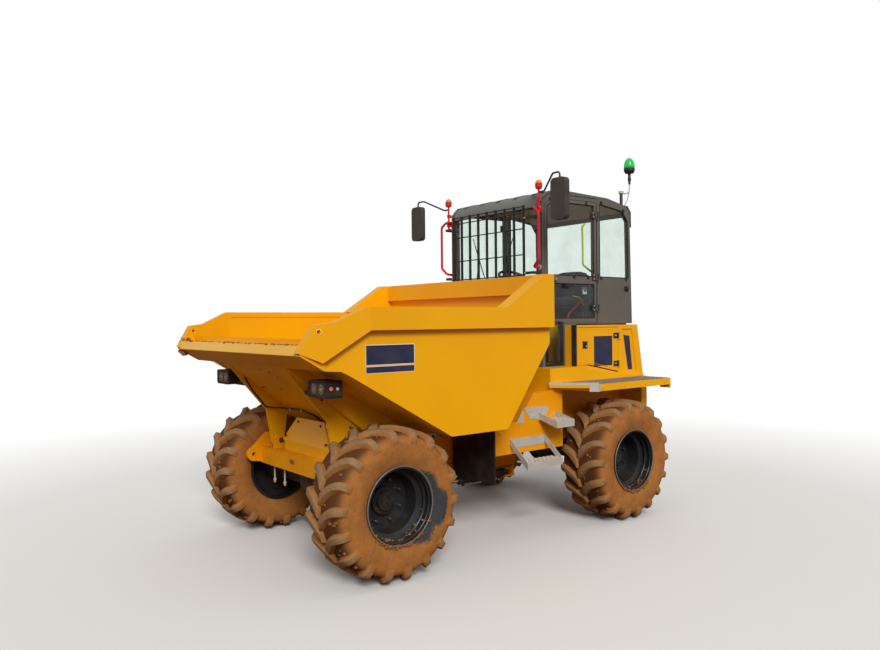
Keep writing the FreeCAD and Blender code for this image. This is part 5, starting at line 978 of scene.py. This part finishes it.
bm = bmesh.new()
for side in (1, -1):
    for x in (0.46, 0.62, 0.78):
        addRod(bm, (side * x, 1.10, 1.9052), (side * x, 1.10, 1.9092), 0.011, 20)
    addSideBox(bm, side, (0.70, 1.36, 1.9051), (0.80, 1.395, 1.9095))
meshPiece("cover_plugs", bm, blackPlastic, "rear", bevel=0.0008)

floorMat = {"half": 0.636, "y": (0.748, 1.160), "z": 1.5003, "ribs": 26}
bm = bmesh.new()
addBox(bm, (-floorMat["half"], floorMat["y"][0], floorMat["z"]), (floorMat["half"], floorMat["y"][1],
                                                                  floorMat["z"] + 0.004))
for k in range(floorMat["ribs"]):
    x = -floorMat["half"] + 0.02 + k * (floorMat["half"] * 2 - 0.04) / (floorMat["ribs"] - 1)
    if abs(x) > 0.18:
        addBox(bm, (x - 0.006, floorMat["y"][0] + 0.012, floorMat["z"] + 0.003),
               (x + 0.006, floorMat["y"][1] - 0.012, floorMat["z"] + 0.007))
addBox(bm, (-0.63, 1.215, 1.9422), (0.63, 2.02, 1.9462))
meshPiece("cab_floor_mats", bm, mat, "rear", bevel=0.001)

bm = bmesh.new()
for x, wide in ((-0.34, 0.045), (0.27, 0.045), (0.37, 0.032)):
    addPanel(bm, [(x - wide, 0.862, 1.585), (x + wide, 0.862, 1.585), (x + wide, 0.812, 1.655),
                  (x - wide, 0.812, 1.655)], (0, 0.010, 0.007))
    for k in range(5):
        t = (k + 0.5) / 5
        y, z = 0.872 - 0.05 * t, 1.592 + 0.07 * t
        addBox(bm, (x - wide + 0.006, y - 0.003, z - 0.003), (x + wide - 0.006, y + 0.003, z + 0.003), tag=1)
    addRod(bm, (x, 0.836, 1.618), (x, 0.79, 1.512), 0.009, 12)
    addBox(bm, (x - 0.02, 0.772, 1.5035), (x + 0.02, 0.812, 1.520))
meshPiece("pedals", bm, [chassisBlack, mat], "rear", bevel=0.0015)
print("engine cover trim, mats and pedals")


# Cab: door glass knobs, seals, latches, roof seams, wipers, headliner, guard bolts

knobs = {"radius": 0.0135, "proud": 0.013, "x": 0.6853, "plate": 0.003}
glassSeal = {"outer": (0.6855, 0.0045), "inner": (0.6505, 0.0035),  # X and radius of the bead
             "door": ([(0.7845, 2.4065), (0.7845, 3.076), (0.8565, 3.1285),
                       (1.4765, 3.1365), (1.4765, 2.4065)],
                      [(0.7845, 1.9785), (0.7845, 2.3235), (1.4765, 2.3235), (1.4765, 1.9785)],
                      [(0.7845, 1.5475), (0.7845, 1.9415), (0.9675, 1.9415), (0.9675, 1.5475)]),
             "quarter": [(1.5715, 2.4065), (1.5715, 3.1655), (1.9495, 3.1205),
                         (2.0325, 3.0160), (2.0425, 2.4065)],
             "frame": [(0.704, 1.512), (0.704, 3.13), (0.82, 3.205), (1.53, 3.215)]}
doorHinge = {"x": 0.698, "y": 1.525, "heights": (2.082, 2.400, 3.042), "half": 0.0345}


def addKnob(bm, side, y, z):  # black cap on its washer, where a pane is bolted on
    plate, cap = knobs["x"] + knobs["plate"], knobs["x"] + knobs["proud"]
    addStud(bm, side, (knobs["x"], plate), y, z, knobs["radius"] * 1.25, 20, 1)
    addStud(bm, side, (plate, cap), y, z, knobs["radius"], 20, tip=knobs["radius"] * 0.85)


for word, side in (("left", 1), ("right", -1)):
    bm = bmesh.new()
    for y, z in ((0.83, 3.148), (1.363, 3.150), (1.17, 2.392), (1.384, 2.392), (0.80, 2.392)):
        addKnob(bm, side, y, z)
    addSideBox(bm, side, (0.6853, 1.025, 2.272), (0.700, 1.080, 2.322), tag=1)
    addSideBox(bm, side, (0.699, 1.035, 2.288), (0.713, 1.125, 2.306))
    addStud(bm, side, (0.7185, 0.7215), 0.875, 2.365, 0.009, 18, 2)
    x, y, half = side * doorHinge["x"], doorHinge["y"], doorHinge["half"]
    for z in doorHinge["heights"]:  # black leaf and sleeve over each knuckle
        addRod(bm, (x, y, z - half), (x, y, z + half), 0.0118, 20)
        addSideBox(bm, side, (0.6855, 1.4445, z - 0.0355), (0.6935, 1.512, z + 0.0355))
        for dz in (-0.02, 0.02):
            addBolt(bm, (side * 0.6933, 1.470, z + dz), (side, 0, 0), 0.006, 2)
    meshPiece("cab_door_fittings_" + word, bm, [blackPlastic, blackTrim, zinc], "cab_door_" + word,
              bevel=0.001)
    bm = bmesh.new()
    for outline in glassSeal["door"]:
        for x, radius in (glassSeal["outer"], glassSeal["inner"]):
            addBead(bm, side * x, outline, radius)
    for y0, y1, z0, z1 in ((0.7455, 1.005, 1.5085, 1.5475), (0.9675, 1.005, 1.5475, 1.9425),
                           (0.7455, 0.7845, 1.5475, 1.9425)):
        addSideBox(bm, side, (0.6852, y0, z0), (0.6862, y1, z1))
    meshPiece("cab_door_seals_" + word, bm, blackTrim, "cab_door_" + word, smooth=True)

bm = bmesh.new()
for side in (1, -1):
    for y, z in ((1.589, 2.392), (2.000, 2.392), (1.962, 3.128), (1.60, 3.182)):
        addKnob(bm, side, y, z)
    addSideBox(bm, side, (0.6853, 1.975, 2.262), (0.695, 2.030, 2.315), tag=1)
    addStud(bm, side, (0.695, 0.716), 2.002, 2.288, 0.016, 24, tip=0.013)
    addSideBox(bm, side, (0.6851, 1.5165, 1.925), (0.6868, 1.5275, 3.172), tag=1)
    x, radius = glassSeal["outer"]
    addBead(bm, side * x, glassSeal["quarter"], radius, 1)
    addBead(bm, side * 0.6853, glassSeal["frame"], 0.0035, 1, closed=False)
meshPiece("quarter_window_fittings", bm, [blackPlastic, blackTrim], "rear", bevel=0.0008)

bm = bmesh.new()
for ya, za, yb, zb in ((2.0662, 2.4065, 2.0662, 3.075), (0.7085, 2.057, 0.7085, 3.066)):
    for x in (-0.637, 0.637):
        addRod(bm, (x, ya, za), (x, yb, zb), 0.0045, 8)
    for y, z in ((ya, za), (yb, zb)):
        addRod(bm, (-0.637, y, z), (0.637, y, z), 0.0045, 8)
meshPiece("screen_seals", bm, blackTrim, "rear", smooth=True)

wiper = {"foot": (0.28, 0.698, 2.03), "bend": (0.30, 0.684, 2.12), "tip": (0.215, 0.688, 2.60), "blade": 0.52}
bm = bmesh.new()
for side in (1, -1):
    foot, bend, tip = (Vector((side * p[0], p[1], p[2])) for p in (wiper["foot"], wiper["bend"],
                                                                   wiper["tip"]))
    addRod(bm, foot, foot + Vector((0, -0.022, 0)), 0.017, 20)
    addTube(bm, [foot + Vector((0, -0.014, 0)), bend, tip], 0.0055, 0.02, 8)
    along = Vector((side * 0.42, 0, 1)).normalized()
    # Rubber, then its spine.
    for share, back, radius, sides in ((2, 0.008, 0.0042, 8), (3, 0.003, 0.0035, 6)):
        lift = Vector((0, back, 0))
        addRod(bm, tip - along * wiper["blade"] / share + lift, tip + along * wiper["blade"] / share + lift,
               radius, sides)
meshPiece("windscreen_wipers", bm, blackPlastic, "rear", smooth=True)

bm = bmesh.new()
roof = [(0.745, 3.203), (0.80, 3.219), (0.88, 3.240), (0.95, 3.2535), (1.30, 3.2487), (1.69, 3.2352),
        (1.85, 3.214), (2.03, 3.180)]
for x in (-0.52, -0.26, 0.0, 0.26, 0.52):
    for (ya, za), (yb, zb) in zip(roof, roof[1:]):
        addPanel(bm, [(x - 0.016, ya, za - 0.002), (x + 0.016, ya, za - 0.002), (x + 0.016, yb, zb - 0.002),
                      (x - 0.016, yb, zb - 0.002)], (0, 0, 0.0075))
for x in (-0.6405, 0.6405):
    addBead(bm, x, [(y, z - 0.001) for y, z in roof], 0.0045, 1, closed=False)
meshPiece("roof_ribs_and_seams", bm, [roofGrey, blackTrim], "rear", bevel=0.001)

bm = bmesh.new()
addPrism(bm, 0, [(0.80, 3.150), (0.98, 3.196), (1.68, 3.184), (1.98, 3.118), (1.98, 3.108), (1.68, 3.172),
                 (0.98, 3.184), (0.80, 3.138)], -0.625, 0.625)
addBox(bm, (-0.16, 1.10, 3.160), (0.16, 1.36, 3.184))
for x in (-0.09, 0.09):
    addRod(bm, (x, 1.16, 3.160), (x, 1.16, 3.150), 0.035, 24, 1)
meshPiece("headliner", bm, [liner, blackPlastic], "rear", bevel=0.003)

bm = bmesh.new()
for side in (1, -1):
    for z in (2.421, 2.958):
        addBolt(bm, (side * 0.655, 0.6995, z), (0, -1, 0), 0.008)
        addBolt(bm, (side * 0.560, 0.6018, z), (0, -1, 0), 0.007)
    for z in (3.052, 2.474):
        addRod(bm, (side * 0.665, 0.6998, z), (side * 0.665, 0.694, z), 0.024, 24)
    addBolt(bm, (side * 0.693, 0.6548, 3.02), (0, -1, 0), 0.007)
meshPiece("guard_and_rail_bolts", bm, zinc, "rear", bevel=0.0006)

cornerLamp = {"x": 0.693, "y": 0.665, "post": (2.985, 3.245), "cup": (3.228, 3.246),
              "red": 3.272, "radius": 0.035, "dome": (3.276, 3.318), "domeRadius": 0.034}
bm = bmesh.new()
for side in (1, -1):
    x, y = side * cornerLamp["x"], cornerLamp["y"]
    addTube(bm, [(x, y, cornerLamp["post"][0]), (x, y, 3.12), (x, y, cornerLamp["post"][1])], 0.0105, 0.02,
            14)
    addBox(bm, (x - 0.016, y - 0.014, 3.005), (x + 0.016, y + 0.036, 3.050))
    addBox(bm, (x - 0.014, y - 0.012, 3.110), (x + 0.014, y + 0.030, 3.140))
    low, high = cornerLamp["cup"]
    addRod(bm, (x, y, low), (x, y, high), 0.026, 28, tip=cornerLamp["radius"])
    addRod(bm, (x, y, high), (x, y, cornerLamp["red"]), cornerLamp["radius"], 28)
    addRod(bm, (x, y, cornerLamp["red"]), (x, y, cornerLamp["dome"][0]), 0.0362, 28, 1)
meshPiece("corner_lamp_posts", bm, [handrailRed, blackPlastic], "rear", bevel=0.001,
          replaces=["corner_lamps"])
bm = bmesh.new()
for side in (1, -1):
    low, high = cornerLamp["dome"]
    curve = [(low + (high - low) * math.sin(a), cornerLamp["domeRadius"] * max(0.04, math.cos(a)))
             for a in (math.radians(15 * k) for k in range(7))]
    addLathe(bm, side * cornerLamp["x"], cornerLamp["y"], curve, 28)
meshPiece("corner_lamp_domes", bm, amberLens, "rear", smooth=True)

bm = bmesh.new()
for side in (1, -1):
    corners = []
    for cx, cz, start in ((1.135, 3.222, 0), (1.035, 3.222, 90), (1.035, 2.920, 180), (1.135, 2.920, 270)):
        for k in range(6):
            a = math.radians(start + k * 18)
            corners.append((side * (cx + 0.025 * math.cos(a)), 0.5672, cz + 0.025 * math.sin(a)))
    addPanel(bm, corners, (0, 0.0016, 0))
    addSideBox(bm, side, (1.06, 0.540, 3.228), (1.11, 0.560, 3.268), tag=1)
meshPiece("mirror_glasses", bm, [silvered, blackPlastic], "rear", bevel=0.0005)

beaconForm = {"x": 0.661, "y": 2.108,
              "dome": [(3.602, 0.056), (3.625, 0.0575), (3.655, 0.0545), (3.680, 0.047),
                       (3.700, 0.035), (3.712, 0.021),
                       (3.718, 0.009), (3.7195, 0.002)],  # height and radius
              "base": ((3.578, 3.603, 0.0585, 0.0585), (3.552, 3.578, 0.046, 0.0585),
                       (3.500, 3.552, 0.0135, 0.0165),
                       (3.470, 3.500, 0.0185, 0.0185), (3.432, 3.470, 0.0125, 0.0135)),
              "tube": [(0.661, 2.108, 3.440), (0.661, 2.108, 3.365), (0.650, 2.075, 3.325),
                       (0.632, 2.010, 3.330)],
              "cable": [(0.655, 2.112, 3.45), (0.652, 2.118, 3.36), (0.640, 2.095, 3.26),
                        (0.628, 2.06, 3.20)],
              "post": (0.632, 2.000),
              "cheek": [(0.645, 2.046, 3.190), (0.645, 2.104, 3.130), (0.645, 2.108, 2.960),
                                                (0.645, 2.076, 2.960), (0.645, 2.070, 3.110)]}
bm = bmesh.new()
addLathe(bm, beaconForm["x"], beaconForm["y"], beaconForm["dome"])
meshPiece("beacon_dome", bm, greenLens, "rear", smooth=True, replaces=["beacon"])
bm = bmesh.new()
for z0, z1, radius, tip in beaconForm["base"]:
    addRod(bm, (beaconForm["x"], beaconForm["y"], z0), (beaconForm["x"], beaconForm["y"], z1), radius, 32,
           tip=tip)
addTube(bm, beaconForm["tube"], 0.0075, 0.05, 14, 1)
x, y = beaconForm["post"]
addRod(bm, (x, y, 3.168), (x, y, 3.345), 0.017, 20, 2)
addRod(bm, (x, y, 3.322), (x, y, 3.350), 0.027, 24, 1)
addBox(bm, (0.600, 1.960, 3.176), (0.655, 2.045, 3.196), tag=2)
addPanel(bm, beaconForm["cheek"], (0.034, 0, 0), tag=2)
for z in (2.990, 3.060):
    for x in (0.653, 0.671):
        addBolt(bm, (x, 2.107, z), (0, 1, 0), 0.006, 1)
addTube(bm, beaconForm["cable"], 0.0035, 0.02, 8)
meshPiece("beacon_base_and_stalk", bm, [blackPlastic, zinc, mirrorBack], "rear",
          bevel=0.0008)
print("cab fittings outside")


# Inside the cab: seat, levers, instruments, grab bar, belt reel

seatForm = {"cushion": ((0, 1.640, 2.145), (0.46, 0.46, 0.125)), "back": ((0, 1.885, 2.345),
                                                                          (0.44, 0.32, 0.110))}
tilt = Matrix.Rotation(math.radians(-98), 3, "X")
bm = bmesh.new()
addPad(bm, seatForm["cushion"][0], seatForm["cushion"][1], 0.22)
for side in (1, -1):
    addPad(bm, (side * 0.195, 1.640, 2.160), (0.085, 0.44, 0.105), 0.2)
cushion = meshPiece("seat_cushion_padded", bm, cloth, "rear", smooth=True)
bm = bmesh.new()
addPad(bm, seatForm["back"][0], seatForm["back"][1], 0.22, tilt)
for side in (1, -1):
    addPad(bm, (side * 0.185, 1.870, 2.340), (0.075, 0.30, 0.105), 0.2, tilt)
back = meshPiece("seat_back_padded", bm, cloth, "rear", smooth=True)
bm = bmesh.new()
addBox(bm, (-0.20, 1.50, 1.9462), (0.20, 1.88, 1.985))
for k in range(7):  # the bellows' folds
    z, fold = 1.990 + k * 0.014, (k % 2) * 0.012
    addBox(bm, (-0.185 + fold, 1.515 + fold, z), (0.185 - fold, 1.865 - fold, z + 0.013))
addBox(bm, (-0.225, 1.44, 2.088), (0.225, 1.86, 2.108))
addTube(bm, [(-0.20, 1.90, 2.12), (-0.20, 1.955, 2.20), (-0.20, 1.970, 2.46), (0.20, 1.970, 2.46),
             (0.20, 1.955, 2.20), (0.20, 1.90, 2.12)], 0.011, 0.04, 10)
meshPiece("seat_base_and_frame", bm, blackPlastic, "rear", bevel=0.002, replaces=["seat"])

bm = bmesh.new()
addTube(bm, [(0.636, 1.400, 2.955), (0.612, 1.386, 2.925), (0.612, 1.392, 2.530), (0.626, 1.515, 2.455)],
        0.0105, 0.03, 14)
meshPiece("hi_vis_grab_bar", bm, hiVis, "rear", smooth=True)

bm = bmesh.new()
addTube(bm, [(0.335, 1.46, 1.947), (0.335, 1.47, 2.02), (0.335, 1.62, 2.12)], 0.010, 0.04, 12)
addTube(bm, [(0.335, 1.615, 2.117), (0.335, 1.70, 2.172)], 0.0155, 0.02, 14)
meshPiece("park_brake_lever", bm, handrailRed, "rear", smooth=True)

bm = bmesh.new()
addBox(bm, (-0.40, 1.44, 1.9462), (-0.28, 1.86, 2.165))
addBox(bm, (-0.405, 1.43, 2.165), (-0.275, 1.80, 2.182), tag=1)
for y, high in ((1.50, 2.36), (1.58, 2.31)):
    addRod(bm, (-0.34, y, 2.18), (-0.34, y - 0.02, high), 0.007, 10)
    addRod(bm, (-0.34, y, 2.18), (-0.34, y, 2.21), 0.028, 20, tip=0.012)
    addRod(bm, (-0.34, y - 0.02, high - 0.01), (-0.34, y - 0.022, high + 0.055), 0.021, 20, tip=0.025)
for k in range(4):
    addBox(bm, (-0.385, 1.64 + k * 0.034, 2.182), (-0.345, 1.662 + k * 0.034, 2.190), tag=2)
meshPiece("lever_console", bm, [blackPlastic, mirrorBack, blackTrim], "rear", bevel=0.002)

bm = bmesh.new()
addBox(bm, (-0.135, 0.905, 2.262), (0.135, 0.925, 2.345), Matrix.Rotation(math.radians(-32), 3, "X"))
for x, radius in ((-0.075, 0.032), (0.0, 0.026), (0.075, 0.032)):
    addRod(bm, (x, 0.922, 2.312), (x, 0.932, 2.322), radius, 28, 1)
for k in range(5):
    addBox(bm, (-0.125 + k * 0.03, 0.980, 2.232), (-0.105 + k * 0.03, 0.992, 2.246), tag=2)
for side in (1, -1):
    addTube(bm, [onSide(side, spot) for spot in ((0.03, 0.955, 2.33), (0.16, 0.985, 2.36),
                                                 (0.20, 0.99, 2.366))], 0.007, 0.02, 10)
meshPiece("instruments_and_stalks", bm, [blackPlastic, clearLens, redLens], "rear",
          bevel=0.0015)

bm = bmesh.new()
wheelAxis = Vector((0, math.sin(math.radians(25)), math.cos(math.radians(25))))
hub = Vector((0, 1.010, 2.400))
addRod(bm, hub - wheelAxis * 0.02, hub + wheelAxis * 0.022, 0.048, 32, tip=0.040)
addRod(bm, hub - wheelAxis * 0.19, hub - wheelAxis * 0.07, 0.034, 24)
knob = hub + Vector((0.12, 0.12, -0.056)) + wheelAxis * 0.012
addRod(bm, knob, knob + wheelAxis * 0.05, 0.017, 20, tip=0.022)
meshPiece("steering_hub_and_knob", bm, blackPlastic, "rear", bevel=0.002)

bm = bmesh.new()
addBox(bm, (0.255, 1.80, 2.03), (0.295, 1.87, 2.11))
addTube(bm, [(0.275, 1.80, 2.10), (0.262, 1.74, 2.205), (0.235, 1.66, 2.222)], 0.006, 0.03, 8, tag=1)
addBox(bm, (-0.292, 1.72, 2.115), (-0.262, 1.765, 2.215), tag=2)
addBox(bm, (0.50, 1.93, 2.22), (0.60, 2.02, 2.36))
for z in (2.26, 2.30, 2.34):
    addBox(bm, (0.51, 1.9265, z - 0.004), (0.59, 1.9305, z + 0.004), tag=2)
addBox(bm, (0.600, 1.395, 2.225), (0.606, 1.455, 2.300), tag=3)
addBox(bm, (0.600, 1.405, 2.02), (0.634, 1.450, 2.225))
addRod(bm, (0.606, 1.425, 2.262), (0.612, 1.425, 2.262), 0.012, 18)
meshPiece("belt_reel_and_vent", bm, [blackPlastic, hiVis, blackTrim, whiteFilm], "rear",
          bevel=0.002)
print("cab inside")


# Rams: glands, welded ports and hard pipes; axle bolts at the rear

ramForms = {"tip_ram": {"foot": (0, -0.45, 0.47), "head": (0, -1.20, 0.96), "barrel": 0.058, "length": 0.80},
            "steer_ram": {"foot": (0.30, 0.56, 0.45), "head": (0.34, -0.42, 0.45), "barrel": 0.038,
                          "length": 0.64}}
for name, form in ramForms.items():
    foot, head = Vector(form["foot"]), Vector(form["head"])
    along = (head - foot).normalized()
    side = along.cross(Vector((0, 0, 1))).normalized()
    across = side.cross(along)
    bm = bmesh.new()
    gland = foot + along * form["length"]
    addRod(bm, gland - along * 0.034, gland - along * 0.002, form["barrel"] * 1.07, 36)
    for a in turns(6):
        spot = gland - along * 0.02 + (side * math.cos(a) + across * math.sin(a)) * form["barrel"] * 1.03
        addRod(bm, spot, spot + (side * math.cos(a) + across * math.sin(a)) * form["barrel"] * 0.1, 0.005, 10)
    turn = side if name == "tip_ram" else -across
    for t in (0.16, 0.9):
        port = foot + along * form["length"] * t + turn * form["barrel"] * 0.98
        addRod(bm, port, port + turn * 0.022, 0.013, 16)
        addBolt(bm, port + turn * 0.022, turn, 0.010, 1)
    start, end = (foot + along * form["length"] * t + turn * (form["barrel"] + 0.016) for t in (0.19, 0.88))
    addRod(bm, start, end, 0.005, 10, 1)
    meshPiece(name + "_gland_and_pipe", bm, [chassisBlack, zinc], name + "_barrel", bevel=0.0008)

bm = bmesh.new()
addHousingBolts(bm, -frontBolt["housing"], axles["rear"])
for side in (1, -1):
    for y in (1.375, 1.461):
        addBolt(bm, (side * 0.32, y, 0.6995), (0, 0, -1), 0.012)
meshPiece("rear_axle_bolts", bm, chassisBlack, "rear", bevel=0.0008)
print("rams and axle bolts")


# Light, floor and camera

camera = {"place": (5.745, -4.554, 1.952), "yaw": 51.72, "pitch": 0.238, "roll": -0.563,
          "lens": 744.05 * 36 / 880}
yaw, pitch, roll = (math.radians(camera[key]) for key in ("yaw", "pitch", "roll"))
ahead = Vector((-math.sin(yaw) * math.cos(pitch), math.cos(yaw) * math.cos(pitch), -math.sin(pitch)))
right = Vector((math.cos(yaw), math.sin(yaw), 0))
up = right.cross(ahead)
right, up = right * math.cos(roll) + up * math.sin(roll), up * math.cos(roll) - right * math.sin(roll)
cameraData = bpy.data.cameras.new("camera")
cameraData.lens = camera["lens"]
cameraData.sensor_width = 36
cameraObject = bpy.data.objects.new("camera", cameraData)
bpy.context.scene.collection.objects.link(cameraObject)
cameraObject.matrix_world = Matrix.Translation(camera["place"]) @ Matrix(
    ((right.x, up.x, -ahead.x), (right.y, up.y, -ahead.y), (right.z, up.z, -ahead.z))).to_4x4()
bpy.context.scene.camera = cameraObject

light = {"sky": 0.52, "sun": 2.35, "softness": 22, "from": (0.86, -0.46, 0.62)}
world = bpy.data.worlds.new("overcast sky")
bpy.context.scene.world = world
world.use_nodes = True
tree = world.node_tree
tree.nodes.clear()
rays = addNode(tree, "LightPath")
seen = calculate(tree, "ADD", rays.outputs["Is Camera Ray"], rays.outputs["Is Transmission Ray"])
strength = addNode(tree, "MapRange", {3: light["sky"], 4: 1.0}, {0: seen}).outputs[0]
sky = addNode(tree, "Background", {"Color": (1, 1, 1, 1)}, {"Strength": strength})
addNode(tree, "OutputWorld", None, {"Surface": sky.outputs[0]})
sunData = bpy.data.lights.new("high sun through cloud", "SUN")
sunData.energy = light["sun"]
sunData.angle = math.radians(light["softness"])
sun = bpy.data.objects.new("high sun through cloud", sunData)
bpy.context.scene.collection.objects.link(sun)
sun.rotation_euler = Vector(light["from"]).to_track_quat("Z", "Y").to_euler()

material, tree = newMaterial("pale studio floor")
place = addNode(tree, "TexCoord").outputs["Object"]
away = addNode(tree, "VectorMath", {"operation": "LENGTH"}, {0: place}).outputs["Value"]
fade = ramp(tree, away, 4.5, 9.0)
toEye = addNode(tree, "LightPath").outputs["Is Camera Ray"]
# Pale to the eye, warm where it lights undersides.
ground = mixColour(tree, toEye, linear("#7A5A40"), linear("#E9E7E3"))
paper = addNode(tree, "BsdfDiffuse", None, {"Color": ground})
whiteOut = addNode(tree, "Emission", {"Color": (1, 1, 1, 1), "Strength": 1.0})
rays = addNode(tree, "LightPath").outputs["Is Camera Ray"]
blendOut = calculate(tree, "MULTIPLY", fade, rays)
floorShader = addNode(tree, "MixShader", None, {0: blendOut, 1: paper.outputs[0], 2: whiteOut.outputs[0]})
addNode(tree, "OutputMaterial", None, {"Surface": floorShader.outputs[0]})
bm = bmesh.new()
bmesh.ops.create_grid(bm, x_segments=1, y_segments=1, size=60)
mesh = bpy.data.meshes.new("studio_floor")
bm.to_mesh(mesh)
bm.free()
mesh.materials.append(material)
floor = bpy.data.objects.new("studio_floor", mesh)
bpy.context.scene.collection.objects.link(floor)
bpy.context.scene.view_settings.view_transform = "Standard"
print("light, floor and camera")
